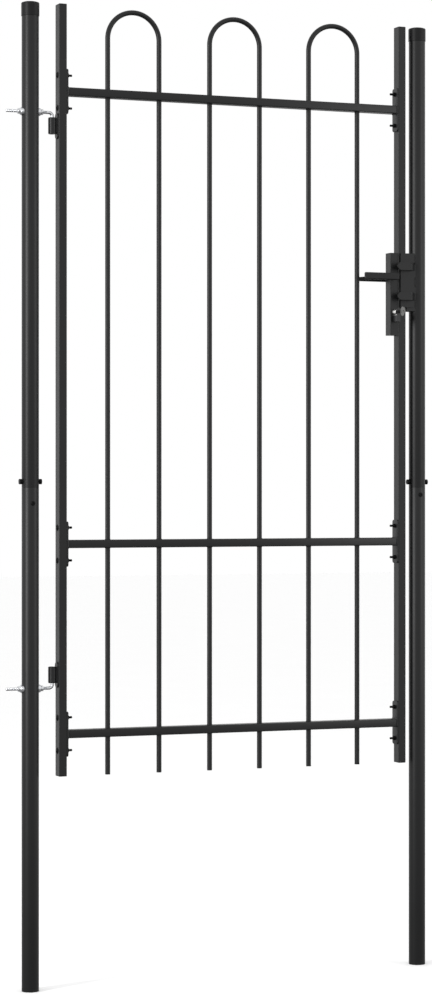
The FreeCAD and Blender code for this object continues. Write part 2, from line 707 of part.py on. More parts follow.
def lever(side, reach, height, tip_height):
    """A round neck on the spindle and a flat grip with softened edges that points to -X.

    The grip's lower edge is straight; its upper edge falls towards the tip where the tip is lower."""
    near = side * GRIP_NEAR
    far = side * (GRIP_NEAR + GRIP_THICKNESS)
    y0 = min(near, far)
    low = SPINDLE_Z - height / 2
    tip_x = SPINDLE_X - reach
    heel_x = SPINDLE_X + NECK_RADIUS
    outline = [
        Vector(heel_x, y0, low),
        Vector(heel_x, y0, low + height),
        Vector(tip_x, y0, low + tip_height),
        Vector(tip_x, y0, low),
    ]
    grip = prism(outline, Y_AXIS * GRIP_THICKNESS)
    grip = grip.makeFillet(GRIP_CORNER, grip.Edges)
    start = LOCK_HALF + SPINDLE_BUSH_FLANGE + NECK_GAP
    neck_base = Vector(SPINDLE_X, side * start, SPINDLE_Z)
    neck = rod(NECK_RADIUS, neck_base, GRIP_NEAR + GRIP_THICKNESS / 2 - start, Y_AXIS * side)
    socket_y = sorted((side * start, side * (SPINDLE_END + SPINDLE_FIT)))
    socket = square_bar(SPINDLE_SIDE + 2 * SPINDLE_FIT, socket_y[0], socket_y[1])
    return grip.fuse(neck).cut(socket).cut(lever_screw_hole(side))


def lever_screw_y(side):
    return side * (GRIP_NEAR - 2 * LEVER_SCREW_RADIUS)


def lever_screw_hole(side):
    start = Vector(SPINDLE_X, lever_screw_y(side), SPINDLE_Z)
    return rod(LEVER_SCREW_RADIUS, start, 2 * NECK_RADIUS, Z_AXIS * -1)


def lever_screw(side):
    """A set screw up through the neck onto the spindle."""
    start = Vector(SPINDLE_X, lever_screw_y(side), SPINDLE_Z - SPINDLE_SIDE / 2 - SPINDLE_FIT)
    return rod(LEVER_SCREW_RADIUS, start, LEVER_SCREW_LENGTH, Z_AXIS * -1)


def spindle():
    return square_bar(SPINDLE_SIDE, -SPINDLE_END, SPINDLE_END)


def follower():
    """A hub on the spindle whose arm leans towards the upright and draws the latch bolt back."""
    half_width = FOLLOWER_ARM_WIDTH / 2
    half_depth = FOLLOWER_ARM_THICKNESS / 2
    hub_half = LOCK_HALF - LOCK_WALL - 1
    hub = rod(FOLLOWER_HUB_RADIUS, Vector(SPINDLE_X, -hub_half, SPINDLE_Z), 2 * hub_half, Y_AXIS)
    top = SPINDLE_Z + FOLLOWER_ARM
    arm = box(SPINDLE_X - half_width, SPINDLE_X + half_width, -half_depth, half_depth, SPINDLE_Z, top)
    tip = rod(half_width, Vector(SPINDLE_X, -half_depth, top), FOLLOWER_ARM_THICKNESS, Y_AXIS)
    lever_arm = arm.fuse(tip)
    lever_arm.rotate(Vector(SPINDLE_X, 0, SPINDLE_Z), Y_AXIS, FOLLOWER_LEAN_DEG)
    hub = hub.fuse(lever_arm)
    return hub.cut(square_bar(SPINDLE_SIDE + 2 * SPINDLE_FIT, -LOCK_HALF, LOCK_HALF))


def return_spring():
    """A torsion spring: a few turns of wire round the follower's hub."""
    helix = Part.makeHelix(SPRING_PITCH, SPRING_PITCH * SPRING_TURNS, SPRING_COIL_RADIUS)
    profile = Part.Wire(Part.makeCircle(SPRING_WIRE_RADIUS, Vector(SPRING_COIL_RADIUS, 0, 0), Y_AXIS))
    coil = Part.Wire(helix.Edges).makePipeShell([profile], True, True)
    coil.rotate(Vector(0, 0, 0), X_AXIS, -90)
    coil.translate(Vector(SPINDLE_X, SPRING_START, SPINDLE_Z))
    return coil


def latch_lug_face():
    """X of the lug's face that the follower's arm draws on, at rest."""
    lean = math.radians(FOLLOWER_LEAN_DEG)
    return SPINDLE_X + FOLLOWER_ARM * math.sin(lean) - FOLLOWER_ARM_WIDTH / 2 - LATCH_LUG_GAP


def latch_bolt():
    """A bevelled head, a tail over the follower's arm and a lug at the tail's end."""
    half = LATCH_THICKNESS / 2
    rise = LATCH_HEIGHT / 2
    lean = math.radians(FOLLOWER_LEAN_DEG)
    head_x = LOCK_FACE_X + 1
    tip_x = LEAF_RIGHT + LATCH_REACH
    head = box(head_x, tip_x, -half, half, LATCH_Z - rise, LATCH_Z + rise)
    bevel = prism(
        [
            Vector(tip_x - LATCH_BEVEL, -half, LATCH_Z - rise),
            Vector(tip_x, -half, LATCH_Z - rise),
            Vector(tip_x, half - 2 * LOCK_WALL, LATCH_Z - rise),
        ],
        Z_AXIS * LATCH_HEIGHT,
    )
    arm_top = SPINDLE_Z + FOLLOWER_ARM + FOLLOWER_ARM_WIDTH / 2
    tail_low = arm_top + LATCH_TAIL_CLEARANCE
    tail_high = LATCH_Z + rise / 2
    face = latch_lug_face()
    tail = box(face - LATCH_LUG, head_x, -half, half, tail_low, tail_high)
    arm_rest_top = SPINDLE_Z + FOLLOWER_ARM * math.cos(lean) + FOLLOWER_ARM_WIDTH / 2
    lug = box(face - LATCH_LUG, face, -half, half, arm_rest_top - LATCH_LUG_ENGAGEMENT, tail_high)
    return head.cut(bevel).fuse(tail).fuse(lug).removeSplitter()


def dead_bolt():
    """A bar with a tail plate that reaches down towards the cylinder's cam."""
    half = DEAD_BOLT_THICKNESS / 2
    rise = DEAD_BOLT_HEIGHT / 2
    left = LOCK_LEFT + LOCK_WALL + DEAD_BOLT_RECESS
    right = LEAF_RIGHT - DEAD_BOLT_RECESS
    bar = box(left, right, -half, half, DEAD_BOLT_Z - rise, DEAD_BOLT_Z + rise)
    tail_half = DEAD_BOLT_TAIL_THICKNESS / 2
    tail_low = CYLINDER_Z + CAM_NOSE_REACH + DEAD_BOLT_TAIL_GAP
    tail = box(left, left + DEAD_BOLT_TAIL, -tail_half, tail_half, tail_low, DEAD_BOLT_Z)
    return bar.fuse(tail).removeSplitter()


def cylinder_bore(y0, y1):
    return rod(PLUG_RADIUS + PLUG_RUNNING_FIT, Vector(CYLINDER_X, y0, CYLINDER_Z), y1 - y0, Y_AXIS)


def cylinder_body():
    """Head and tail, bored for the two plugs, long at the front, with a gap at the cam."""
    end = CYLINDER_HALF_LENGTH
    gap = CAM_THICKNESS / 2 + CAM_GAP
    rear = CYLINDER_REAR_LENGTH
    body = cylinder_outline(0.0, -end, rear).cut(cylinder_bore(-end, rear))
    gap_low = CYLINDER_Z - CAM_NOSE_REACH - CAM_GAP
    wide = CYLINDER_RADIUS + 1
    body = body.cut(box(CYLINDER_X - wide, CYLINDER_X + wide, -gap, gap, gap_low, CYLINDER_Z + wide))
    start = Vector(CYLINDER_X - CYLINDER_TAIL_WIDTH, 0, CYLINDER_Z - CYLINDER_SCREW_DROP)
    return body.cut(rod(CYLINDER_SCREW_RADIUS, start, 2 * CYLINDER_TAIL_WIDTH, X_AXIS))


def keyway(y0, y1):
    half = KEY_THICKNESS / 2 + KEY_FIT
    rise = KEY_BLADE_HEIGHT / 2 + KEY_FIT
    return box(CYLINDER_X - half, CYLINDER_X + half, y0, y1, CYLINDER_Z - rise, CYLINDER_Z + rise)


def plug(y0, y1, way0, way1):
    solid = rod(PLUG_RADIUS, Vector(CYLINDER_X, y0, CYLINDER_Z), y1 - y0, Y_AXIS)
    return solid.cut(keyway(way0, way1))


def cylinder_plug():
    end = CYLINDER_HALF_LENGTH
    return plug(-end, -CAM_THICKNESS / 2, -end, -end + KEYWAY_DEPTH)


def rear_plug():
    """The short plug at the back, with its keyway right through."""
    start = CAM_THICKNESS / 2 + CAM_GAP
    end = CYLINDER_REAR_LENGTH
    return plug(start, end, start, end)


def cylinder_cam():
    """A disc between the plugs with a nose that points down."""
    half = CAM_THICKNESS / 2
    nose = CAM_NOSE_WIDTH / 2
    disc = rod(CAM_RADIUS, Vector(CYLINDER_X, -half, CYLINDER_Z), CAM_THICKNESS, Y_AXIS)
    low = CYLINDER_Z - CAM_NOSE_REACH + 0.1
    finger = box(CYLINDER_X - nose, CYLINDER_X + nose, -half, half, low, CYLINDER_Z)
    reach = rod(CAM_NOSE_REACH, Vector(CYLINDER_X, -half, CYLINDER_Z), CAM_THICKNESS, Y_AXIS)
    return disc.fuse(finger.common(reach)).removeSplitter()


def cylinder_screw():
    """Through the upright into the cylinder's tail."""
    z = CYLINDER_Z - CYLINDER_SCREW_DROP
    seat = Vector(LEAF_RIGHT, 0, z)
    head = rod(CYLINDER_SCREW_HEAD_RADIUS, seat, CYLINDER_SCREW_HEAD, X_AXIS)
    length = TUBE_WIDTH + CYLINDER_BACKSET + CYLINDER_TAIL_WIDTH / 4
    return head.fuse(rod(CYLINDER_SCREW_RADIUS, seat, length, X_AXIS * -1))


def key():
    """A round bow with a hole, a shoulder and a blade with cuts, flat in the YZ plane."""
    half = KEY_THICKNESS / 2
    rise = KEY_BLADE_HEIGHT / 2
    mouth = -CYLINDER_HALF_LENGTH
    tip = mouth + KEY_IN_PLUG
    bow_y = mouth - KEY_NECK - KEY_BOW_RADIUS
    bow = rod(KEY_BOW_RADIUS, Vector(CYLINDER_X - half, bow_y, CYLINDER_Z), KEY_THICKNESS, X_AXIS)
    hole_y = bow_y - KEY_BOW_RADIUS / 2
    hole = rod(KEY_BOW_HOLE, Vector(CYLINDER_X - half, hole_y, CYLINDER_Z), KEY_THICKNESS, X_AXIS)
    bow = bow.cut(hole)
    blade = box(CYLINDER_X - half, CYLINDER_X + half, bow_y, tip, CYLINDER_Z - rise, CYLINDER_Z + rise)
    for i, depth in enumerate(KEY_CUT_DEPTHS):
        y = tip - KEY_CUT_PITCH * (i + 0.5)
        top = CYLINDER_Z + rise
        cut = prism(
            [
                Vector(CYLINDER_X - half, y - KEY_CUT_PITCH / 2, top),
                Vector(CYLINDER_X - half, y + KEY_CUT_PITCH / 2, top),
                Vector(CYLINDER_X - half, y, top - depth),
            ],
            X_AXIS * KEY_THICKNESS,
        )
        blade = blade.cut(cut)
    return bow.fuse(blade.cut(hole)).removeSplitter()


# --- Keep ----------------------------------------------------------------------------------------

def lock_post_round():
    start = Vector(POST_SPACING, 0, KEEP_BOTTOM - 1)
    return rod(POST_RADIUS, start, KEEP_HEIGHT + 2, Z_AXIS)


def keep_window(z, height, thickness):
    half = thickness / 2 + WINDOW_CLEARANCE
    rise = height / 2 + WINDOW_CLEARANCE
    return box(KEEP_WEB_X - 1, KEEP_WEB_X + KEEP_WALL + 1, -half, half, z - rise, z + rise)


def keep_box():
    """A channel whose web faces the leaf and whose flanges meet the post's round."""
    deep = KEEP_HALF_DEPTH
    wall = KEEP_WALL
    low = KEEP_BOTTOM
    high = KEEP_TOP
    inner = deep - wall
    channel = rounded_bar(KEEP_WEB_X, POST_SPACING, -deep, deep, low, high, KEEP_FOLD, Z_AXIS)
    hollow = rounded_bar(KEEP_WEB_X + wall, POST_SPACING, -inner, inner, low, high, KEEP_FOLD - wall, Z_AXIS)
    channel = channel.cut(hollow).cut(lock_post_round())
    channel = channel.cut(keep_window(LATCH_Z, LATCH_HEIGHT, LATCH_THICKNESS))
    return channel.cut(keep_window(DEAD_BOLT_Z, DEAD_BOLT_HEIGHT, DEAD_BOLT_THICKNESS))


def keep_plate():
    """The stop plate in front of the gap, which the leaf's front comes up to."""
    left = LEAF_RIGHT - STOP_PLATE_OVERLAP
    right = POST_FLANK_X + STOP_PLATE_PAST_POST
    low = KEEP_BOTTOM + STOP_PLATE_SHORTER
    return box(left, right, STOP_PLATE_FACE, -KEEP_HALF_DEPTH, low, KEEP_TOP)


def keep_finger(z):
    """A strap that stands off in front of the lock, round at its free end and bent back to the keep."""
    face = STOP_PLATE_FACE - FINGER_STANDOFF
    under = face + FINGER_THICKNESS
    foot = -KEEP_HALF_DEPTH
    edge = POST_FLANK_X + STOP_PLATE_PAST_POST
    end = POST_FLANK_X - FINGER_REACH
    outer_bend = POST_FLANK_X - FINGER_BEND
    inner_bend = outer_bend - FINGER_THICKNESS * math.tan(math.radians(FINGER_BEND_DEG / 2))
    slope = 1 / math.tan(math.radians(FINGER_BEND_DEG))
    low = z - FINGER_HEIGHT / 2
    outline = [
        (end, face),
        (outer_bend, face),
        (outer_bend + (foot - face) * slope, foot),
        (edge, foot),
        (edge, STOP_PLATE_FACE),
        (inner_bend + (STOP_PLATE_FACE - under) * slope, STOP_PLATE_FACE),
        (inner_bend, under),
        (end, under),
    ]
    strap = prism([Vector(x, y, low) for x, y in outline], Z_AXIS * FINGER_HEIGHT)
    radius = FINGER_HEIGHT / 2
    depth = foot - face
    round_end = rod(radius, Vector(end + radius, face, z), depth, Y_AXIS)
    rest = box(end + radius, POST_SPACING, face, foot, low, z + radius)
    return strap.common(round_end.fuse(rest))


def keep_buffer(z):
    """A rubber pad on the back of the stop plate."""
    left = LEAF_RIGHT - STOP_PLATE_OVERLAP + BUFFER_INSET
    front = -TUBE_DEPTH / 2 - BUFFER_GAP
    rise = BUFFER_HEIGHT / 2
    return box(left, left + BUFFER_WIDTH, -KEEP_HALF_DEPTH, front, z - rise, z + rise)


# --- Every piece, by name --------------------------------------------------------------------------

def all_pieces():
    pieces = {}
    for post in ("hinge", "lock"):
        pieces[post + "_post_lower"] = post_length(post, 0.0, JOINT_HEIGHT)
        pieces[post + "_post_upper"] = post_length(post, JOINT_HEIGHT, POST_TOP)
        pieces[post + "_post_sleeve"] = post_sleeve(post)
        pieces[post + "_post_cap"] = post_cap(post)
    posts = ("hinge", "lock")
    pieces["sleeve_bolts"] = group([sleeve_bolt(p) for p in posts])
    pieces["sleeve_nuts"] = group([sleeve_nut(p) for p in posts])
    pieces["sleeve_screws"] = group([sleeve_screw(p) for p in posts])

    for name, height, turn in (("upper", UPPER_HINGE_Z, -1), ("lower", LOWER_HINGE_Z, 1)):
        pieces[name + "_hinge_bolt"] = hinge_rod(height, turn)
        pieces[name + "_hinge_barrel"] = hinge_barrel(height, turn)
        pieces[name + "_barrel_plate"] = barrel_plate(height, turn)
    spans = (barrel_span(UPPER_HINGE_Z, -1), barrel_span(LOWER_HINGE_Z, 1))
    bushes = [barrel_bush(low, Z_AXIS) for low, high in spans]
    bushes += [barrel_bush(high, Z_AXIS * -1) for low, high in spans]
    pieces["barrel_bushes"] = group(bushes)
    pieces["hinge_saddles"] = group([hinge_saddle(z, out) for z, out in hinge_sides()])
    pieces["hinge_nuts"] = group([hinge_nut(z, out) for z, out in hinge_sides()])

    pieces["hinge_upright"] = upright(LEAF_LEFT)
    pieces["lock_upright"] = lock_upright()
    lefts = (LEAF_LEFT, LOCK_FACE_X)
    plugs = [upright_plug(x, LEAF_FOOT, 1) for x in lefts] + [upright_plug(x, LEAF_TOP, -1) for x in lefts]
    pieces["upright_plugs"] = group(plugs)
    for name, z in RAIL_HEIGHTS.items():
        pieces[name] = rail(z)
    plate_lefts = (RAIL_LEFT - PLATE_THICKNESS, RAIL_RIGHT)
    pieces["rail_end_plates"] = group(
        [rail_end_plate(x, z) for z in RAIL_HEIGHTS.values() for x in plate_lefts]
    )
    pieces["frame_bolts"] = group([frame_bolt(*place) for place in frame_bolt_places()])
    pieces["frame_nuts"] = group([frame_nut(*place) for place in frame_bolt_places()])
    for index, name in enumerate(("left", "middle", "right")):
        pieces[name + "_hoop"] = hoop(index)
    pieces["hoop_plugs"] = group([hoop_plug(x) for x in BAR_CENTRES])

    pieces["lock_case"] = lock_case()
    pieces["lock_cover"] = lock_cover()
    pieces["cover_screws"] = group([cover_screw(c) for c in cover_screw_centres()])
    pieces["spindle_bushes"] = group([spindle_bush(side) for side in (-1, 1)])
    pieces["cylinder_body"] = cylinder_body()
    pieces["rear_plug"] = rear_plug()
    pieces["cylinder_screw"] = cylinder_screw()
    pieces["front_lever"] = lever(-1, FRONT_GRIP_REACH, FRONT_GRIP_HEIGHT, FRONT_GRIP_HEIGHT)
    pieces["back_lever"] = lever(1, BACK_GRIP_REACH, BACK_GRIP_HEIGHT, BACK_GRIP_TIP_HEIGHT)
    pieces["lever_screws"] = group([lever_screw(side) for side in (-1, 1)])
    pieces["spindle"] = spindle()
    pieces["follower"] = follower()
    pieces["return_spring"] = return_spring()
    pieces["latch_bolt"] = latch_bolt()
    pieces["dead_bolt"] = dead_bolt()
    pieces["cylinder_plug"] = cylinder_plug()
    pieces["cylinder_cam"] = cylinder_cam()
    pieces["key"] = key()

    pieces["keep_box"] = keep_box()
    pieces["keep_plate"] = keep_plate()
    pieces["keep_fingers"] = group([keep_finger(z) for z in (LATCH_Z, DEAD_BOLT_Z)])
    pieces["keep_buffers"] = group([keep_buffer(z) for z in (SPINDLE_Z, CYLINDER_Z + FINGER_HEIGHT * 2)])
    return pieces


os.makedirs("parts", exist_ok=True)
for piece_name, piece_shape in all_pieces().items():
    write(piece_name, piece_shape)
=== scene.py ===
"""A garden gate dressed for display: coated tubes, zinc hinge bolts, fasteners, lock, keep and key.

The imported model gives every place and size. New pieces are surfaces on grids, worked out with
numpy. All lengths are in metres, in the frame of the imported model: +X towards the lock post, +Z up.
"""

import json
import math

import bpy
import numpy as np
from mathutils import Matrix, Vector


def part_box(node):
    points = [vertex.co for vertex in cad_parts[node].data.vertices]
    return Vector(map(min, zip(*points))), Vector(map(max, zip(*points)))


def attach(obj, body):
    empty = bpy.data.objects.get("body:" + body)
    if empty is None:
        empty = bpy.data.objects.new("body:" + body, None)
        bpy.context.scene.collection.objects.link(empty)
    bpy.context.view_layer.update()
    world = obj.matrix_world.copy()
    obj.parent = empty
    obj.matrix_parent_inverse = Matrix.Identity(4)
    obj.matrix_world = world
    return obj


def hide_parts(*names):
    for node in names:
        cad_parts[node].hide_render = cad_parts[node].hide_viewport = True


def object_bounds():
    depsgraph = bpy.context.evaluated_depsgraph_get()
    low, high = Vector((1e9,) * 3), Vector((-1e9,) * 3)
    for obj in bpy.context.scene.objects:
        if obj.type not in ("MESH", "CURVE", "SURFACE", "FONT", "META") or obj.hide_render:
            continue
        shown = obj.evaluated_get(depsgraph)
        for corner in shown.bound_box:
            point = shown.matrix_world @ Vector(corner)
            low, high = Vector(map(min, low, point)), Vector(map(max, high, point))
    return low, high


bl_info = {
    "name": "Garden Gate",
    "version": (1, 0, 0),
    "blender": (4, 5, 0),
    "location": "View3D > Sidebar > Gate",
    "description": "Builds a tubular garden gate with its hinges, lock and keep",
    "category": "Object",
}

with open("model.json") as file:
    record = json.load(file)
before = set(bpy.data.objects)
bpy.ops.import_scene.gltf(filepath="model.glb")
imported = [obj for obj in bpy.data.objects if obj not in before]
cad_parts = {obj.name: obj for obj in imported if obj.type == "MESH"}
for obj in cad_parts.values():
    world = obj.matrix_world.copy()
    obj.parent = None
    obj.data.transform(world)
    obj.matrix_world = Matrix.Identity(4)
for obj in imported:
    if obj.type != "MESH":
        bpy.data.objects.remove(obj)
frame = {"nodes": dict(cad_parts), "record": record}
CAD_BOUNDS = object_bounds()

MM = 0.001

# How many points go round each kind of piece.
POST_SEGMENTS = 96
NUT_SEGMENTS = 72
HOOP_SEGMENTS = 40
BOLT_SEGMENTS = 32
BEAD_SEGMENTS = 10

# Edges sharper than this stay crisp.
SHARP_ANGLE = math.radians(32)

POSTS = ("hinge_post_lower", "hinge_post_upper", "lock_post_lower", "lock_post_upper")
UPRIGHTS = ("hinge_upright", "lock_upright")
RAILS = ("bottom_rail", "middle_rail", "top_rail")
HOOPS = ("left_hoop", "middle_hoop", "right_hoop")

X_WAY = np.array([1.0, 0.0, 0.0])
Y_WAY = np.array([0.0, 1.0, 0.0])
Z_WAY = np.array([0.0, 0.0, 1.0])


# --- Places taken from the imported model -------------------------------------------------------

class Extent:
    """A node's box at rest, with its middle and half sizes."""

    def __init__(self, node):
        low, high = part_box(node)
        self.low = np.array(low)
        self.high = np.array(high)
        self.mid = (self.low + self.high) / 2
        self.half = (self.high - self.low) / 2


def hinge_places():
    """Each hinge bolt's node, the height of its level run, and -1 where it bends down or 1 up."""
    upper = Extent("upper_hinge_bolt")
    lower = Extent("lower_hinge_bolt")
    radius = upper.half[1]
    yield "upper_hinge_bolt", upper.high[2] - radius, -1
    yield "lower_hinge_bolt", lower.low[2] + radius, 1


def frame_bolt_heights():
    """Heights of the frame bolts: above and below each rail by half the spacing."""
    bolts = Extent("frame_bolts")
    offset = bolts.high[2] - bolts.half[1] - Extent("top_rail").mid[2]
    for name in RAILS:
        z = Extent(name).mid[2]
        yield z - offset
        yield z + offset


# --- Surfaces ---------------------------------------------------------------------------------

def turns(count):
    """Angles evenly round a full turn, the last one left out."""
    return np.arange(count) * (2 * math.pi / count)


def side_ways(axis):
    """Two unit vectors square to an axis and to each other, turning right-handed about it."""
    axis = np.asarray(axis, float)
    first = Y_WAY if abs(axis[0]) > 0.5 else X_WAY
    first = first - axis * first.dot(axis)
    return first, np.cross(axis, first)


def round_sections(centre, axis, profile, segments):
    """Rings about an axis. The point at radius r, height h and angle a is
    centre + h * axis + r * (cos a * first + sin a * second). A profile row is (r, h); r may be a
    row of radii, one for each angle."""
    first, second = side_ways(axis)
    angle = turns(segments)
    spokes = np.outer(np.cos(angle), first) + np.outer(np.sin(angle), second)
    rings = []
    for radius, height in profile:
        rings.append(centre + height * np.asarray(axis) + np.multiply(radius, spokes.T).T)
    return np.array(rings)


def hexagon_radii(flats, segments, limit=None):
    """Radius of a hexagon at each angle: half its size across the flats over the cosine of the
    angle from the middle of the nearest flat, and no more than a limit, which cuts its corners."""
    sector = math.pi / 3
    from_flat = np.mod(turns(segments), sector) - sector / 2
    radii = flats / 2 / np.cos(from_flat)
    return radii if limit is None else np.minimum(radii, limit)


def box_outline(half_u, half_v, corner, inset, steps):
    """A rectangle with round corners, drawn inset from its size. Each corner is a quarter circle
    of radius corner - inset, never less than a tenth of the corner."""
    radius = max(corner - inset, corner * 0.1)
    quarter = np.linspace(0, math.pi / 2, steps)
    parts = []
    for index, (side_u, side_v) in enumerate(((1, 1), (-1, 1), (-1, -1), (1, -1))):
        angle = quarter + index * math.pi / 2
        u = side_u * (half_u - inset - radius) + radius * np.cos(angle)
        v = side_v * (half_v - inset - radius) + radius * np.sin(angle)
        parts.append(np.stack([u, v], axis=1))
    return np.concatenate(parts)


def box_sections(centre, axis, half_u, half_v, corner, profile, steps=6):
    """Rounded rectangles stacked along an axis. A profile row is (inset, height): the outline
    drawn inset, moved along the axis by the height."""
    ways = np.array(side_ways(axis))
    rings = []
    for inset, height in profile:
        flat = box_outline(half_u, half_v, corner, inset, steps)
        rings.append(centre + height * np.asarray(axis) + flat @ ways)
    return np.array(rings)


def soft_profile(low, high, edge, steps=5):
    """Insets and heights of a solid from low to high whose two rims are quarter circles of an edge
    radius: at angle a the inset is edge * (1 - cos a), edge * (1 - sin a) in from the rim."""
    angle = np.linspace(math.pi / 2, 0, steps)
    start = [(edge * (1 - math.cos(a)), low + edge * (1 - math.sin(a))) for a in angle]
    return start + [(inset, high + low - height) for inset, height in reversed(start)]


def path_sections(path, radii, binormal, segments):
    """A round bar along a flat path. At each path point the ring lies square to the path: the
    point at angle a is path + r * (cos a * normal + sin a * binormal), where r is one radius or a
    grid of them."""
    ahead = np.gradient(path, axis=0)
    ahead /= np.linalg.norm(ahead, axis=1)[:, None]
    normal = np.cross(binormal, ahead)
    angle = turns(segments)
    grid = np.broadcast_to(np.asarray(radii, float), (len(path), segments))
    across = grid[:, :, None] * np.cos(angle)[None, :, None] * normal[:, None, :]
    beside = grid[:, :, None] * np.sin(angle)[None, :, None] * binormal[None, None, :]
    return path[:, None, :] + across + beside


def loft(sections, ring=False):
    """Points, four-sided faces and triangles of the surface through rings of points. A ring-shaped
    body closes from its last section to its first; any other is closed at each end by triangles to
    the section's middle."""
    count, around, _ = sections.shape
    points = sections.reshape(-1, 3)
    i = np.arange(count if ring else count - 1)[:, None]
    j = np.arange(around)
    following = (j + 1) % around
    below = i * around
    above = ((i + 1) % count) * around
    corners = [below + j, below + following, above + following, above + j]
    quads = np.stack(corners, axis=2).reshape(-1, 4)
    if ring:
        return points, quads, np.zeros((0, 3), int)
    middle = np.full(around, len(points))
    last_row = (count - 1) * around
    first = np.stack([following, j, middle], axis=1)
    last = np.stack([last_row + j, last_row + following, middle + 1], axis=1)
    middles = np.array([sections[0].mean(axis=0), sections[-1].mean(axis=0)])
    return np.concatenate([points, middles]), quads, np.concatenate([first, last])


def outward(points, quads, triangles):
    """Turns a closed surface's faces outwards: its volume by the divergence rule, the sum of
    a . (b x c) over its triangles, has to be positive."""
    halves = np.concatenate([quads[:, [0, 1, 2]], quads[:, [0, 2, 3]], triangles])
    a, b, c = points[halves[:, 0]], points[halves[:, 1]], points[halves[:, 2]]
    volume = np.einsum("ij,ij->i", a, np.cross(b, c)).sum()
    return (quads, triangles) if volume > 0 else (quads[:, ::-1], triangles[:, ::-1])


def make_piece(name, surfaces, body, slot, *nodes):
    """One object from several closed surfaces. It rides on a body, takes the finish of its slot and
    stands for the nodes named."""
    all_points = []
    all_faces = []
    start = 0
    for points, quads, triangles in surfaces:
        quads, triangles = outward(points, quads, triangles)
        all_points.append(points)
        all_faces += (quads + start).tolist() + (triangles + start).tolist()
        start += len(points)
    mesh = bpy.data.meshes.new(name)
    mesh.from_pydata(np.concatenate(all_points), [], all_faces)
    mesh.polygons.foreach_set("use_smooth", np.ones(len(mesh.polygons), bool))
    mesh.set_sharp_from_angle(angle=SHARP_ANGLE)
    mesh.materials.append(finishes()[slot])
    piece = bpy.data.objects.new(name, mesh)
    bpy.context.scene.collection.objects.link(piece)
    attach(piece, body)
    if nodes:
        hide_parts(*nodes)


# --- Shader nodes -----------------------------------------------------------------------------

# Sockets of a Mix node set to colours: its factor, its two colours and its result.
MIX_FACTOR, MIX_FIRST, MIX_SECOND, MIX_RESULT = 0, 6, 7, 2


class Value:
    """A socket that takes part in sums: an expression on values adds the Math nodes for it."""

    def __init__(self, maker, socket):
        self.maker = maker
        self.socket = socket

    def __add__(self, other):
        return self.maker.number("ADD", self, other)

    def __radd__(self, other):
        return self.maker.number("ADD", other, self)

    def __sub__(self, other):
        return self.maker.number("SUBTRACT", self, other)

    def __rsub__(self, other):
        return self.maker.number("SUBTRACT", other, self)

    def __mul__(self, other):
        return self.maker.number("MULTIPLY", self, other)

    def __rmul__(self, other):
        return self.maker.number("MULTIPLY", other, self)


class NodeMaker:
    """Adds nodes to one material, each by its type, its settings and what its sockets take."""

    def __init__(self, name):
        self.material = bpy.data.materials.new(name)
        self.material.use_nodes = True
        self.tree = self.material.node_tree
        self.tree.nodes.clear()

    def add(self, kind, settings=None, inputs=None):
        """A node of a type: its settings are set first, then its sockets."""
        node = self.tree.nodes.new(kind)
        for key, value in (settings or {}).items():
            setattr(node, key, value)
        for key, value in (inputs or {}).items():
            if isinstance(value, Value):
                self.tree.links.new(value.socket, node.inputs[key])
            else:
                node.inputs[key].default_value = value
        return node

    def value(self, node, output):
        """A node's output as a value."""
        return Value(self, node.outputs[output])

    def number(self, operation, first, second):
        """A Math node on two numbers or values."""
        inputs = {0: first, 1: second}
        return self.value(self.add("ShaderNodeMath", {"operation": operation}, inputs), 0)

    def place(self, stretch=(1.0, 1.0, 1.0)):
        """Object coordinates, stretched along each axis."""
        coordinates = self.value(self.add("ShaderNodeTexCoord"), "Object")
        inputs = {"Vector": coordinates, "Scale": stretch}
        return self.value(self.add("ShaderNodeMapping", None, inputs), "Vector")

    def noise(self, place, scale, detail=3.0, roughness=0.5):
        """Soft noise from 0 to 1, scale waves to the metre."""
        inputs = {"Vector": place, "Scale": scale, "Detail": detail, "Roughness": roughness}
        return self.value(self.add("ShaderNodeTexNoise", None, inputs), "Fac")

    def cells(self, place, scale, output="Distance"):
        """Cells, scale to the metre: the distance from a cell's point, or the cell's colour."""
        inputs = {"Vector": place, "Scale": scale}
        return self.value(self.add("ShaderNodeTexVoronoi", None, inputs), output)

    def band(self, value, low, high):
        """0 below low, 1 above high, and a smooth step between."""
        settings = {"interpolation_type": "SMOOTHSTEP"}
        inputs = {"Value": value, "From Min": low, "From Max": high}
        return self.value(self.add("ShaderNodeMapRange", settings, inputs), "Result")

    def blend(self, mask, first, second):
        """The first colour where the mask is 0, the second where it is 1."""
        inputs = {MIX_FACTOR: mask, MIX_FIRST: first, MIX_SECOND: second}
        return self.value(self.add("ShaderNodeMix", {"data_type": "RGBA"}, inputs), MIX_RESULT)

    def bump(self, height, distance):
        """A normal from a height of 0 to 1, which stands for the distance."""
        inputs = {"Height": height, "Distance": distance}
        return self.value(self.add("ShaderNodeBump", None, inputs), "Normal")

    def finish(self, **inputs):
        """The shader and its output. An input's name is its socket's, with _ for each space."""
        named = {key.replace("_", " "): value for key, value in inputs.items()}
        shader = self.value(self.add("ShaderNodeBsdfPrincipled", None, named), "BSDF")
        self.add("ShaderNodeOutputMaterial", None, {"Surface": shader})
        return self.material


def shade(colour, factor):
    """A colour made darker or lighter by a factor, opaque."""
    return (colour[0] * factor, colour[1] * factor, colour[2] * factor, 1.0)


# --- Finishes ---------------------------------------------------------------------------------

# Where a finish is given its roughness, what its noises add on average is taken off first.

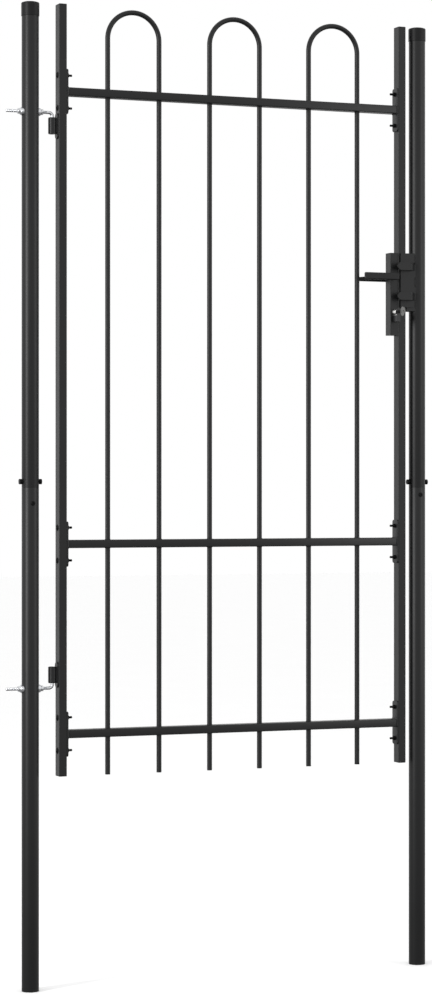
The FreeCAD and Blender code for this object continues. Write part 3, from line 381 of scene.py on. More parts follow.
def coat_material(name, colour, grain, grain_height, roughness, sheen):
    """Powder coat: a slow orange-peel swell under a fine grain whose highest specks are paler."""
    maker = NodeMaker(name)
    place = maker.place()
    fine = maker.noise(place, grain, 2.0, 0.6)
    peel = maker.noise(place, grain * 0.22, 2.0, 0.5)
    cloud = maker.noise(place, 9.0, 3.0, 0.55)
    fleck = maker.band(fine, 0.56, 0.72)
    base = maker.blend(cloud, shade(colour, 0.88), shade(colour, 1.12))
    return maker.finish(
        Base_Color=maker.blend(fleck * 0.35, base, shade(colour, 1.7)),
        Roughness=fine * 0.14 + cloud * 0.08 + (roughness - 0.11),
        Normal=maker.bump(fine * 0.7 + peel * 0.6, grain_height),
        Specular_IOR_Level=sheen,
    )


def zinc_material(name, colour, roughness, streak):
    """Plated steel: bright metal with faint drawn streaks, a cloudy passivation and dark pores."""
    maker = NodeMaker(name)
    place = maker.place()
    drawn = maker.noise(maker.place((0.15, 1.0, 1.0)), streak, 3.0, 0.6)
    cloud = maker.noise(place, 160.0, 3.0, 0.6)
    pore = maker.band(maker.noise(place, 1500.0, 2.0, 0.5), 0.66, 0.74)
    base = maker.blend(cloud, shade(colour, 0.82), shade(colour, 1.08))
    return maker.finish(
        Base_Color=maker.blend(pore * 0.5, base, shade(colour, 0.45)),
        Metallic=1.0,
        Roughness=cloud * 0.16 + drawn * 0.10 + (roughness - 0.13),
        Normal=maker.bump(drawn * 0.5 + pore * -0.8, 0.04 * MM),
    )


def cylinder_material(name, colour):
    """Nickel plate on the round head. The front face and the tail below the head are painted very
    dark, dull and not metallic: painted shade and painted dark reflection over the nickel.
    """
    maker = NodeMaker(name)
    place = maker.place()
    turned = maker.noise(maker.place((1.0, 0.1, 1.0)), 1100.0, 3.0, 0.6)
    cloud = maker.noise(place, 180.0, 3.0, 0.6)
    split = maker.add("ShaderNodeSeparateXYZ", None, {"Vector": place})
    face = Extent("cylinder_body").low[1]
    head = Extent("rear_plug").low[2] - 1.0 * MM
    # These masks split the head's lit side from the front face and tail, which get painted shade and
    # painted dark reflection.
    unshaded_part = maker.band(maker.value(split, "Y"), face + 0.15 * MM, face + 0.45 * MM)
    unshaded_part = unshaded_part * maker.band(maker.value(split, "Z"), head - 1.0 * MM, head)
    painted_shade = 1 - unshaded_part
    bright = maker.blend(cloud, shade(colour, 0.80), shade(colour, 1.06))
    return maker.finish(
        # The very dark colour here is painted shade and painted dark reflection on the front face and
        # tail.
        Base_Color=maker.blend(painted_shade, bright, (0.012, 0.012, 0.013, 1.0)),
        Metallic=1 - painted_shade,
        Roughness=cloud * 0.14 + turned * 0.10 + painted_shade * 0.18 + 0.10,
        Normal=maker.bump(turned, 0.03 * MM),
    )


def plastic_material(name, colour, roughness):
    """Moulded plastic: a fine spark texture, a faint flow mottle and a slight sheen."""
    maker = NodeMaker(name)
    place = maker.place()
    spark = maker.cells(place, 1400.0)
    flow = maker.noise(place, 35.0, 2.0, 0.5)
    return maker.finish(
        Base_Color=maker.blend(flow, shade(colour, 0.85), shade(colour, 1.2)),
        Roughness=spark * 0.18 + flow * 0.08 + (roughness - 0.10),
        Normal=maker.bump(spark, 0.03 * MM),
        Specular_IOR_Level=0.22,
    )


def galvanised_material(name, colour):
    """Hot-dip zinc: flat crystals of slightly different greys."""
    maker = NodeMaker(name)
    place = maker.place()
    spangle = maker.cells(place, 120.0, "Color")
    grey = maker.value(maker.add("ShaderNodeSeparateColor", None, {"Color": spangle}), "Red")
    fine = maker.noise(place, 700.0, 2.0, 0.5)
    return maker.finish(
        Base_Color=maker.blend(grey, shade(colour, 0.75), shade(colour, 1.15)),
        Metallic=0.9,
        Roughness=grey * 0.18 + fine * 0.08 + 0.34,
        Normal=maker.bump(fine, 0.03 * MM),
    )


def dark_fastener(name):
    """The leaf's and sleeves' bolts, nuts and screws: a blacker, duller coat."""
    colour = (0.0030, 0.0031, 0.0032)
    return coat_material(name, colour, 1500.0, 0.04 * MM, roughness=0.44, sheen=0.13)


def powder_coat(name):
    """The tubes' coat."""
    colour = gate_settings().coat_colour
    return coat_material(name, colour, 1100.0, 0.05 * MM, roughness=0.40, sheen=0.35)


def lever_coat(name):
    """The levers' coat, finer and a little glossier than the tubes'."""
    colour = gate_settings().lever_colour
    return coat_material(name, colour, 1500.0, 0.03 * MM, roughness=0.36, sheen=0.30)


FINISH_MAKERS = {
    "powder_coat": powder_coat,
    "dark_fastener": dark_fastener,
    "lever_coat": lever_coat,
    "bright_zinc": lambda name: zinc_material(name, gate_settings().zinc_colour, 0.27, 900.0),
    "zinc_plate": lambda name: zinc_material(name, (0.60, 0.59, 0.55), 0.36, 700.0),
    "nickel": lambda name: cylinder_material(name, gate_settings().nickel_colour),
    # A darker copy of the nickel for the key: painted shade, which makes the bright plate grey.
    "shaded_key_nickel": lambda name: zinc_material(name, (0.17, 0.17, 0.165), 0.26, 1300.0),
    "spring_steel": lambda name: zinc_material(name, (0.42, 0.42, 0.43), 0.30, 1200.0),
    "galvanised": lambda name: galvanised_material(name, (0.50, 0.51, 0.52)),
    "black_plastic": lambda name: plastic_material(name, gate_settings().plastic_colour, 0.42),
    "bearing_plastic": lambda name: plastic_material(name, (0.012, 0.012, 0.0122), 0.36),
    "rubber": lambda name: plastic_material(name, (0.009, 0.009, 0.009), 0.72),
}


def finishes():
    """Every finish by the name of its material slot, made once. The key has a darker copy of the
    nickel of its own, painted shade.
    """
    if "gate_powder_coat" in bpy.data.materials:
        return {slot: bpy.data.materials["gate_" + slot] for slot in FINISH_MAKERS}
    return {slot: make("gate_" + slot) for slot, make in FINISH_MAKERS.items()}


# --- Settings ---------------------------------------------------------------------------------

def length_setting(name, description, default):
    """A length that the user can change."""
    return bpy.props.FloatProperty(
        name=name, description=description, unit="LENGTH", precision=5, default=default
    )


def colour_setting(name, description, default):
    """A colour that the user can change."""
    return bpy.props.FloatVectorProperty(
        name=name, description=description, subtype="COLOR", default=default
    )


class GateSettings(bpy.types.PropertyGroup):
    """Finishes and details of the gate."""

    coat_colour: colour_setting("Coat", "Powder coat's colour", (0.0050, 0.0052, 0.0055))
    lever_colour: colour_setting("Levers", "Levers' colour", (0.0045, 0.0047, 0.0050))
    plastic_colour: colour_setting("Plastic", "Caps' and plugs' colour", (0.0048, 0.0049, 0.0052))
    zinc_colour: colour_setting("Zinc", "Hinge bolts' and nuts' colour", (0.72, 0.73, 0.75))
    nickel_colour: colour_setting("Nickel", "Key cylinder's colour", (0.95, 0.94, 0.92))
    thread_pitch: length_setting("Thread pitch", "Hinge bolts' thread pitch", 1.25 * MM)
    thread_depth: length_setting("Thread depth", "Depth of the hinge bolts' thread", 0.7 * MM)
    rail_corner: length_setting("Rail corner", "Rounding of the rails' corners", 2.2 * MM)
    plate: length_setting("End plate", "Thickness of the rails' end plates", 4 * MM)
    weld_radius: length_setting("Weld", "Half the width of a weld bead", 1.6 * MM)
    weld_ripple: length_setting("Weld ripple", "Distance between a bead's ripples", 1.8 * MM)


class StageSettings(bpy.types.PropertyGroup):
    """Camera, floor and lights."""

    camera_place: bpy.props.FloatVectorProperty(
        name="Camera", description="Where the camera stands", subtype="XYZ", unit="LENGTH",
        default=(-2.145, -6.489, 1.222),
    )
    camera_turn: bpy.props.FloatProperty(
        name="Turn", description="Camera's turn towards +X from +Y", subtype="ANGLE",
        default=math.radians(22.07),
    )
    lens: bpy.props.FloatProperty(
        name="Lens", description="Focal length in mm on a 36 mm side", default=101.23
    )
    shift: bpy.props.FloatProperty(
        name="Shift", description="Vertical shift of the view", default=-0.0128
    )
    floor_colour: colour_setting("Floor", "Floor's colour", (0.98, 0.98, 0.98))
    sky_strength: bpy.props.FloatProperty(
        name="Surround", description="Light from all round", default=1.0
    )
    ground_tone: bpy.props.FloatProperty(
        name="Ground", description="How light the surround is below the horizon",
        subtype="FACTOR", default=0.3,
    )
    key_power: bpy.props.FloatProperty(
        name="Key light", description="Key light in watts", default=165.0
    )
    fill_power: bpy.props.FloatProperty(
        name="Fill light", description="Fill light in watts", default=30.0
    )


def gate_settings():
    """The scene's settings for the gate."""
    return bpy.context.scene.gate_settings


def stage_settings():
    """The scene's settings for the stage."""
    return bpy.context.scene.gate_stage


# --- Operators --------------------------------------------------------------------------------

class GATE_OT_finish_frame(bpy.types.Operator):
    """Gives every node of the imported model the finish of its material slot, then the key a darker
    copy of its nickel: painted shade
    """

    bl_idname = "gate.finish_frame"
    bl_label = "Finish frame"

    def execute(self, context):
        made = finishes()
        for part in frame["record"]["subparts"]:
            node = frame["nodes"][part["node"]]
            node.data.materials.clear()
            node.data.materials.append(made[part["material_slot"]])
        # The key takes the darker copy of the nickel: painted shade.
        frame["nodes"]["key"].data.materials[0] = made["shaded_key_nickel"]
        return {"FINISHED"}


class GATE_OT_posts(bpy.types.Operator):
    """The four lengths of post, each with its rims slightly rounded"""

    bl_idname = "gate.posts"
    bl_label = "Posts"

    rim: length_setting("Rim", "Rounding of the rim", 0.2 * MM)
    wall: length_setting("Wall", "Tube's wall", 2.0 * MM)

    def execute(self, context):
        for node in POSTS:
            tube = Extent(node)
            radius = tube.half[0]
            height = tube.high[2] - tube.low[2]
            rims = soft_profile(0.0, height, self.rim)
            outline = [(radius - inset, level) for inset, level in rims]
            outline += [(radius - self.wall, height), (radius - self.wall, 0.0)]
            foot = np.array([tube.mid[0], tube.mid[1], tube.low[2]])
            sections = round_sections(foot, Z_WAY, outline, POST_SEGMENTS)
            surfaces = [loft(sections, ring=True)]
            make_piece(node + "_coated", surfaces, "frame", "powder_coat", node)
        return {"FINISHED"}


class GATE_OT_caps(bpy.types.Operator):
    """Pushed-on post caps: a skirt, a soft shoulder and a shallow crown with a flat middle"""

    bl_idname = "gate.caps"
    bl_label = "Post caps"

    wall: length_setting("Wall", "Skirt's wall", 0.9 * MM)
    shoulder: length_setting("Shoulder", "Rounding of the shoulder", 2.6 * MM)
    crown: length_setting("Crown", "Height from the shoulder's foot to the top", 5.6 * MM)
    flat: length_setting("Flat", "Radius of the crown's flat middle", 8.5 * MM)
    vent: length_setting("Vent", "Radius of the hole in the middle", 0.4 * MM)

    def outline(self, radius, height):
        """Radius and height of each ring, up the skirt, over the crown and back inside. On the
        shoulder the radius falls by shoulder * (1 - cos a) and the height rises by
        1.25 * shoulder * sin a. From there to the flat the radius falls evenly with t, and the
        height has risen by 1 - (1 - t) ** 1.7 of the rest."""
        bore = radius - self.wall
        rows = [(bore, 0.0), (radius - 0.3 * MM, 0.0), (radius, 0.4 * MM)]
        foot = height - self.crown
        for a in np.linspace(0, math.radians(62), 9):
            inset = self.shoulder * (1 - math.cos(a))
            rows.append((radius - inset, foot + self.shoulder * 1.25 * math.sin(a)))
        edge, level = rows[-1]
        for t in np.linspace(0, 1, 9)[1:]:
            rise = (height - level) * (1 - (1 - t) ** 1.7)
            rows.append((edge + (self.flat - edge) * t, level + rise))
        rows += [(self.vent, height), (self.vent, height - 2.0 * MM), (bore, height - 7.0 * MM)]
        return rows

    def execute(self, context):
        for node in ("hinge_post_cap", "lock_post_cap"):
            cap = Extent(node)
            outline = self.outline(cap.half[0], cap.high[2] - cap.low[2])
            foot = np.array([cap.mid[0], cap.mid[1], cap.low[2]])
            sections = round_sections(foot, Z_WAY, outline, POST_SEGMENTS)
            surfaces = [loft(sections, ring=True)]
            make_piece(node + "_moulded", surfaces, "frame", "black_plastic", node)
        return {"FINISHED"}


def thread_cut(along, angle, pitch, depth):
    """How far a thread cuts into a rod: the depth times a triangle wave of
    (distance / pitch - turn), raised to 1.15 so that the crests are a little narrower."""
    phase = np.mod(along[:, None] / pitch - angle[None, :] / (2 * math.pi), 1.0)
    return depth * np.abs(2 * phase - 1) ** 1.15


class GATE_OT_hinge_bolts(bpy.types.Operator):
    """Bright hinge bolts: a threaded level run, a quarter bend and a plain pin"""

    bl_idname = "gate.hinge_bolts"
    bl_label = "Hinge bolts"

    bend: length_setting("Bend", "Bend's radius", 9.0 * MM)
    plain: length_setting("Plain run", "Unthreaded run before the bend", 5.0 * MM)
    start_taper: length_setting("Start's taper", "Length of the taper at the start", 1.2 * MM)
    start_inset: length_setting("Start's inset", "Depth of the taper at the start", 1.0 * MM)
    pin_taper: length_setting("Pin's taper", "Length of the taper on the pin", 1.0 * MM)
    pin_inset: length_setting("Pin's inset", "Depth of the taper on the pin", 0.8 * MM)

    def surface(self, bolt, height, turn):
        """A bar along the level run, a quarter circle of the bend's radius and the pin. Its radius
        is the rod's less the thread's cut, and falls evenly over the tapers at both ends."""
        pitch = gate_settings().thread_pitch
        radius = bolt.half[1]
        pin_x = bolt.high[0] - radius
        bend_x = pin_x - self.bend
        tip = bolt.low[2] if turn < 0 else bolt.high[2]
        level = np.arange(bolt.low[0], bend_x, pitch / 8)
        angle = np.linspace(0, math.pi / 2, 14)
        curve_x = bend_x + self.bend * np.sin(angle)
        curve_z = height + turn * self.bend * (1 - np.cos(angle))
        pin_z = np.linspace(height + turn * self.bend, tip, 12)[1:]
        x = np.concatenate([level, curve_x, np.full(len(pin_z), pin_x)])
        z = np.concatenate([np.full(len(level), height), curve_z, pin_z])
        is_level = z == height
        threaded = np.clip((bend_x - self.plain - x) / (2 * pitch), 0, 1) * is_level
        cut = thread_cut(x, turns(BOLT_SEGMENTS), pitch, gate_settings().thread_depth)
        from_start = np.clip((x - bolt.low[0]) / self.start_taper, 0, 1)
        from_tip = np.clip(np.abs(z - tip) / self.pin_taper, 0, 1)
        start_radius = radius - self.start_inset * (1 - from_start) * is_level
        grid = np.minimum(radius - cut * threaded[:, None], start_radius[:, None])
        grid = grid - (self.pin_inset * (1 - from_tip) * ~is_level)[:, None]
        path = np.stack([x, np.zeros(len(x)), z], axis=1)
        return loft(path_sections(path, grid, Y_WAY, BOLT_SEGMENTS))

    def execute(self, context):
        for node, height, turn in hinge_places():
            surfaces = [self.surface(Extent(node), height, turn)]
            make_piece(node + "_zinc", surfaces, "frame", "bright_zinc", node)
        return {"FINISHED"}


# A nut's corners are cut in two steps of this height, and its bore widens by the lead at its ends.
NUT_CHAMFER = 0.45 * MM
BORE_LEAD = 0.5 * MM


def nut_surface(seat, out, flats, height, bore, flange_radius=0.0, flange=0.0):
    """A hexagon nut bored through, on a round flange where it has one. Its rings are rows of radii:
    the hexagon's on the sides, the hexagon's cut by ever smaller circles on the chamfer, and on the
    flange the greater of the hexagon's and a circle that narrows evenly while the height rises with
    the power 1.6 of the way in."""
    corner = flats / math.sqrt(3)
    hexagon = hexagon_radii(flats, NUT_SEGMENTS)
    cut = hexagon_radii(flats, NUT_SEGMENTS, flats / 2 * 1.03)
    profile = []
    if flange > 0:
        profile += [(flange_radius - 0.3 * MM, 0.0), (flange_radius, 0.4 * MM)]
        profile += [(flange_radius - 0.1 * MM, flange * 0.7)]
        for t in np.linspace(0, 1, 5)[1:]:
            circle = flange_radius + (corner - flange_radius) * t
            profile += [(np.maximum(hexagon, circle), flange * (0.7 + 1.3 * t ** 1.6))]
        profile += [(hexagon, flange * 2.2)]
    else:
        profile += [(cut, 0.0), (hexagon, NUT_CHAMFER)]
    profile += [(hexagon, height - 2 * NUT_CHAMFER)]
    profile += [(np.minimum(hexagon, corner * 0.965), height - NUT_CHAMFER), (cut, height)]
    profile += [(bore + BORE_LEAD, height), (bore, height - BORE_LEAD)]
    profile += [(bore, BORE_LEAD), (bore + 0.3 * MM, 0.0)]
    return loft(round_sections(seat, out, profile, NUT_SEGMENTS), ring=True)


class GATE_OT_hinge_nuts(bpy.types.Operator):
    """Flanged nuts on both sides of the hinge post, each on its saddle washer"""

    bl_idname = "gate.hinge_nuts"
    bl_label = "Hinge nuts"

    flats: length_setting("Flats", "Across the flats", 13 * MM)
    flange: length_setting("Flange", "Thickness of the flange", 1.6 * MM)

    def execute(self, context):
        nuts = Extent("hinge_nuts")
        seat_x = Extent("hinge_saddles").high[0]
        bore = Extent("upper_hinge_bolt").half[1] - gate_settings().thread_depth
        height = nuts.high[0] - seat_x
        surfaces = []
        for _, z, _ in hinge_places():
            for side in (-1, 1):
                seat = np.array([side * seat_x, 0.0, z])
                surfaces.append(nut_surface(
                    seat, X_WAY * side, self.flats, height, bore, nuts.high[1], self.flange
                ))
        make_piece("hinge_nuts_zinc", surfaces, "frame", "bright_zinc", "hinge_nuts")
        return {"FINISHED"}


class GATE_OT_frame_bolts(bpy.types.Operator):
    """Domed bolts through the uprights into the rails' end plates, with their nuts"""

    bl_idname = "gate.frame_bolts"
    bl_label = "Frame bolts"

    pitch: length_setting("Pitch", "Thread's pitch", 1.0 * MM)
    depth: length_setting("Depth", "Thread's depth", 0.5 * MM)
    shank: length_setting("Shank", "Shank's radius", 3.0 * MM)
    past_plate: length_setting("Past the plate", "Bolt's length past the end plate", 13.6 * MM)
    end_taper: length_setting("End's taper", "Length of the taper at the bolt's end", 0.8 * MM)
    end_inset: length_setting("End's inset", "Depth of the taper at the bolt's end", 0.7 * MM)
    nut_flats: length_setting("Nut", "Across the nut's flats", 10 * MM)
    nut_height: length_setting("Nut height", "Nut's height", 5 * MM)

    def bolt(self, seat, way, radius, rise, long):
        """A domed head, part of a sphere of radius (r ** 2 + rise ** 2) / (2 * rise), and a shank
        whose thread fades in past 0.55 of its length and whose end is tapered."""
        dome = (radius ** 2 + rise ** 2) / (2 * rise)
        swing = np.linspace(0.02, math.asin(radius / dome), 10)
        profile = [(dome * math.sin(a), dome - rise - dome * math.cos(a)) for a in swing]
        profile += [(radius - 0.1 * MM, 0.0), (self.shank, 0.0)]
        head = round_sections(seat, way, profile, BOLT_SEGMENTS)
        along = np.arange(0.2 * MM, long, self.pitch / 6)
        from_end = np.clip((long - along) / self.end_taper, 0, 1)
        threaded = np.clip((along - long * 0.55) / self.pitch, 0, 1)
        cut = thread_cut(along, turns(BOLT_SEGMENTS), self.pitch, self.depth)
        end_radius = self.shank - self.end_inset * (1 - from_end)
        grid = np.minimum(self.shank - cut * threaded[:, None], end_radius[:, None])
        shank = round_sections(seat, way, list(zip(grid, along)), BOLT_SEGMENTS)
        return loft(np.concatenate([head, shank]))

    def execute(self, context):
        bolts = Extent("frame_bolts")
        radius = bolts.high[1]
        upright = Extent("hinge_upright")
        left = upright.low[0]
        right = Extent("lock_upright").high[0]
        through = upright.high[0] - left + gate_settings().plate
        heads = []
        nuts = []
        for z in frame_bolt_heights():
            for x, way in ((left, X_WAY), (right, -X_WAY)):
                seat = np.array([x, 0.0, z])
                long = through + self.past_plate
                heads.append(self.bolt(seat, way, radius, left - bolts.low[0], long))
                nut_seat = seat + way * through
                nuts.append(
                    nut_surface(nut_seat, way, self.nut_flats, self.nut_height, self.shank)
                )
        make_piece("frame_bolts_coated", heads, "leaf", "dark_fastener", "frame_bolts")
        make_piece("frame_nuts_coated", nuts, "leaf", "dark_fastener", "frame_nuts")
        return {"FINISHED"}


class GATE_OT_sleeve_fasteners(bpy.types.Operator):
    """Hexagon bolts and nuts across the posts' joints, and the button-head screws below them"""

    bl_idname = "gate.sleeve_fasteners"
    bl_label = "Post joint fasteners"

    flats: length_setting("Flats", "Across the flats", 13 * MM)
    shank: length_setting("Shank", "Bolt shank's radius", 4 * MM)
    screw_shank: length_setting("Screw shank", "Screw shank's radius", 2.9 * MM)
    screw_length: length_setting("Screw length", "Screw's length under its head", 14 * MM)
    socket: length_setting("Socket", "Across the flats of the screw's socket", 4 * MM)

    def bolt(self, seat, out, head, reach):
        """Rings of a shank, a washer face and a hexagon head whose corners are cut by ever smaller
        circles, stacked along the way out."""
        hexagon = hexagon_radii(self.flats, NUT_SEGMENTS)
        cut = hexagon_radii(self.flats, NUT_SEGMENTS, self.flats / 2 * 1.02)
        washer = self.flats / 2 * 0.97
        profile = [(self.shank * 0.85, -reach), (self.shank, -reach + 0.8 * MM)]
        profile += [(self.shank, 0.0), (washer, 0.0), (washer, 0.5 * MM), (hexagon, 0.6 * MM)]
        profile += [(hexagon, head - 1.0 * MM)]
        profile += [(np.minimum(hexagon, hexagon.max() * 0.96), head - 0.5 * MM)]
        profile += [(cut, head), (cut * 0.5, head)]
        return loft(round_sections(seat, out, profile, NUT_SEGMENTS))

    def screw(self, seat, radius, rise):
        """A button head whose radius falls by (1 - cos a) ** 1.2 of the way to the socket's rim
        while the last three quarters of its height rise with sin a, and a hexagon socket."""
        socket = hexagon_radii(self.socket, NUT_SEGMENTS)
        profile = [(self.screw_shank, -self.screw_length), (self.screw_shank, 0.0)]
        profile += [(radius - 0.1 * MM, -0.9 * MM), (radius, 0.25 * rise)]
        for a in np.linspace(0, math.pi / 2, 8)[1:]:
            inset = (radius - 3.1 * MM) * (1 - math.cos(a)) ** 1.2
            profile += [(radius - inset, 0.25 * rise + 0.75 * rise * math.sin(a))]
        profile += [(socket + 0.2 * MM, rise), (socket, rise - 0.2 * MM)]
        profile += [(socket, rise - 1.6 * MM), (socket * 0.2, rise - 1.9 * MM)]
        return loft(round_sections(seat, -Y_WAY, profile, NUT_SEGMENTS))

    def execute(self, context):
        bolts = Extent("sleeve_bolts")
        screws = Extent("sleeve_screws")
        post_radius = Extent("hinge_post_lower").half[0]
        lock_x = Extent("lock_post_lower").mid[0]
        head = -post_radius - bolts.low[0]
        heads = []
        nuts = []
        for x, out in ((0.0, -X_WAY), (lock_x, X_WAY)):
            middle = np.array([x, 0.0, bolts.mid[2]])
            reach = 2 * post_radius + head
            heads.append(self.bolt(middle + out * post_radius, out, head, reach))
            nut_seat = middle - out * post_radius
            nuts.append(nut_surface(nut_seat, -out, self.flats, head, self.shank))
        make_piece("sleeve_bolts_coated", heads, "frame", "dark_fastener", "sleeve_bolts")
        make_piece("sleeve_nuts_coated", nuts, "frame", "dark_fastener", "sleeve_nuts")
        radius = -screws.low[0]
        rise = -post_radius - screws.low[1]
        buttons = []
        for x, z in ((0.0, screws.low[2] + radius), (lock_x, screws.high[2] - radius)):
            buttons.append(self.screw(np.array([x, -post_radius, z]), radius, rise))
        make_piece("sleeve_screws_coated", buttons, "frame", "dark_fastener", "sleeve_screws")
        return {"FINISHED"}


class GATE_OT_hoops(bpy.types.Operator):
    """Three hairpins of round tube: each two straight legs and a half circle"""

    bl_idname = "gate.hoops"
    bl_label = "Hoops"

    def execute(self, context):
        for node in HOOPS:
            hoop = Extent(node)
            radius = hoop.half[1]
            bend = hoop.half[0] - radius
            spring = hoop.high[2] - radius - bend
            leg = np.linspace(hoop.low[2], spring, 12)
            side = np.full(len(leg), bend)
            angle = np.linspace(0, math.pi, 61)[1:-1]
            x = np.concatenate([-side, -bend * np.cos(angle), side]) + hoop.mid[0]
            z = np.concatenate([leg, spring + bend * np.sin(angle), leg[::-1]])
            path = np.stack([x, np.zeros(len(x)), z], axis=1)
            surfaces = [loft(path_sections(path, radius, Y_WAY, HOOP_SEGMENTS))]
            make_piece(node + "_coated", surfaces, "leaf", "powder_coat", node)
        return {"FINISHED"}


class GATE_OT_rails(bpy.types.Operator):
    """Rectangular rails and their bolted end plates, with soft corners"""

    bl_idname = "gate.rails"
    bl_label = "Rails"

    plate_corner: length_setting("Plate corner", "Rounding of the plates' corners", 6 * MM)
    rail_edge: length_setting("Rail edge", "Rounding of the rails' cut ends", 0.3 * MM)
    plate_edge: length_setting("Plate edge", "Rounding of the plates' rims", 0.7 * MM)

    def execute(self, context):
        corner = gate_settings().rail_corner
        thick = gate_settings().plate
        plates = Extent("rail_end_plates")
        tall = plates.high[2] - Extent("top_rail").mid[2]
        made = []
        for node in RAILS:
            rail = Extent(node)
            ends = (rail.low[0] - rail.mid[0], rail.high[0] - rail.mid[0])
            profile = soft_profile(*ends, self.rail_edge, 3)
            surface = box_sections(rail.mid, X_WAY, rail.half[1], rail.half[2], corner, profile)
            make_piece(node + "_coated", [loft(surface)], "leaf", "powder_coat", node)
            profile = soft_profile(-thick / 2, thick / 2, self.plate_edge, 4)
            for x in (plates.low[0] + thick / 2, plates.high[0] - thick / 2):
                middle = np.array([x, 0.0, rail.mid[2]])
                size = (plates.half[1], tall, self.plate_corner)
                made.append(loft(box_sections(middle, X_WAY, *size, profile, 9)))
        make_piece("rail_end_plates_coated", made, "leaf", "powder_coat", "rail_end_plates")
        return {"FINISHED"}


class GATE_OT_plugs(bpy.types.Operator):
    """Moulded plugs in the ends of the uprights"""

    bl_idname = "gate.plugs"
    bl_label = "Upright plugs"

    stem: length_setting("Stem", "How far a plug goes into its tube", 12 * MM)
    stem_inset: length_setting("Stem inset", "How far the stem stands in from the tube", 1.7 * MM)
    edge: length_setting("Edge", "Rounding of the head", 1.6 * MM)
    corner: length_setting("Corner", "Rounding of the head's corners", 2.0 * MM)

    def execute(self, context):
        plugs = Extent("upright_plugs")
        surfaces = []
        for node in UPRIGHTS:
            tube = Extent(node)
            head = plugs.high[2] - tube.high[2]
            profile = [(self.stem_inset, -self.stem), (self.stem_inset, 0.0), (0.15 * MM, 0.0)]
            for a in np.linspace(0, math.pi / 2, 6):
                inset = self.edge * (1 - math.cos(a))
                profile += [(inset, head * 0.35 + head * 0.5 * math.sin(a))]
            profile += [(4.0 * MM, head * 0.93), (7.0 * MM, head)]
            for end, way in ((tube.high[2], Z_WAY), (tube.low[2], -Z_WAY)):
                middle = np.array([tube.mid[0], 0.0, end])
                size = (tube.half[0], tube.half[1], self.corner)
                surfaces.append(loft(box_sections(middle, way, *size, profile)))
        make_piece("upright_plugs_moulded", surfaces, "leaf", "black_plastic", "upright_plugs")
        return {"FINISHED"}


# --- Welds ------------------------------------------------------------------------------------

# Distance between the rings of a bead.
BEAD_STEP = 0.6 * MM


def bead(path, across, radius, closed=False):
    """A weld bead along a path: a round bar whose radius is 0.86 of its full size plus 0.14 times
    the power 0.7 of the sine of the way along, one hump at every ripple."""
    steps = np.linalg.norm(np.diff(path, axis=0), axis=1)
    along = np.concatenate([[0], np.cumsum(steps)])
    humps = np.abs(np.sin(math.pi * along / gate_settings().weld_ripple)) ** 0.7
    swell = radius * (0.86 + 0.14 * humps)
    if closed:
        ahead = np.roll(path, -1, axis=0) - np.roll(path, 1, axis=0)
    else:
        ahead = np.gradient(path, axis=0)
    ahead = ahead / np.linalg.norm(ahead, axis=1)[:, None]
    side = across - ahead * (ahead @ across)[:, None]
    side = side / np.linalg.norm(side, axis=1)[:, None]
    third = np.cross(ahead, side)
    angle = turns(BEAD_SEGMENTS)[None, :, None]
    spokes = np.cos(angle) * side[:, None, :] + np.sin(angle) * third[:, None, :]
    return loft(path[:, None, :] + swell[:, None, None] * spokes, ring=closed)


def upright_run(x, y, z, half):
    """Points evenly spaced up a line, half its length below and above a height."""
    start = np.array([x, y, z - half])
    end = np.array([x, y, z + half])
    count = max(3, int(np.linalg.norm(end - start) / BEAD_STEP))
    return start + np.linspace(0, 1, count)[:, None] * (end - start)


def loop_run(centre, half_y, half_z, corner):
    """Points evenly spaced round a rectangle with round corners that faces along X."""
    flat = box_outline(half_y, half_z, corner, 0.0, 8)
    flat = np.concatenate([flat, flat[:1]])
    steps = np.linalg.norm(np.diff(flat, axis=0), axis=1)
    along = np.concatenate([[0], np.cumsum(steps)])
    marks = np.linspace(0, along[-1], int(along[-1] / BEAD_STEP), endpoint=False)
    outline = [np.interp(marks, along, flat[:, 0]), np.interp(marks, along, flat[:, 1])]
    return centre + np.stack(outline, axis=1) @ np.array(side_ways(X_WAY))


def ring_run(centre, radius):
    """Points evenly spaced round a level circle."""
    angle = turns(48)
    return centre + radius * np.stack([np.cos(angle), np.sin(angle), 0 * angle], axis=1)


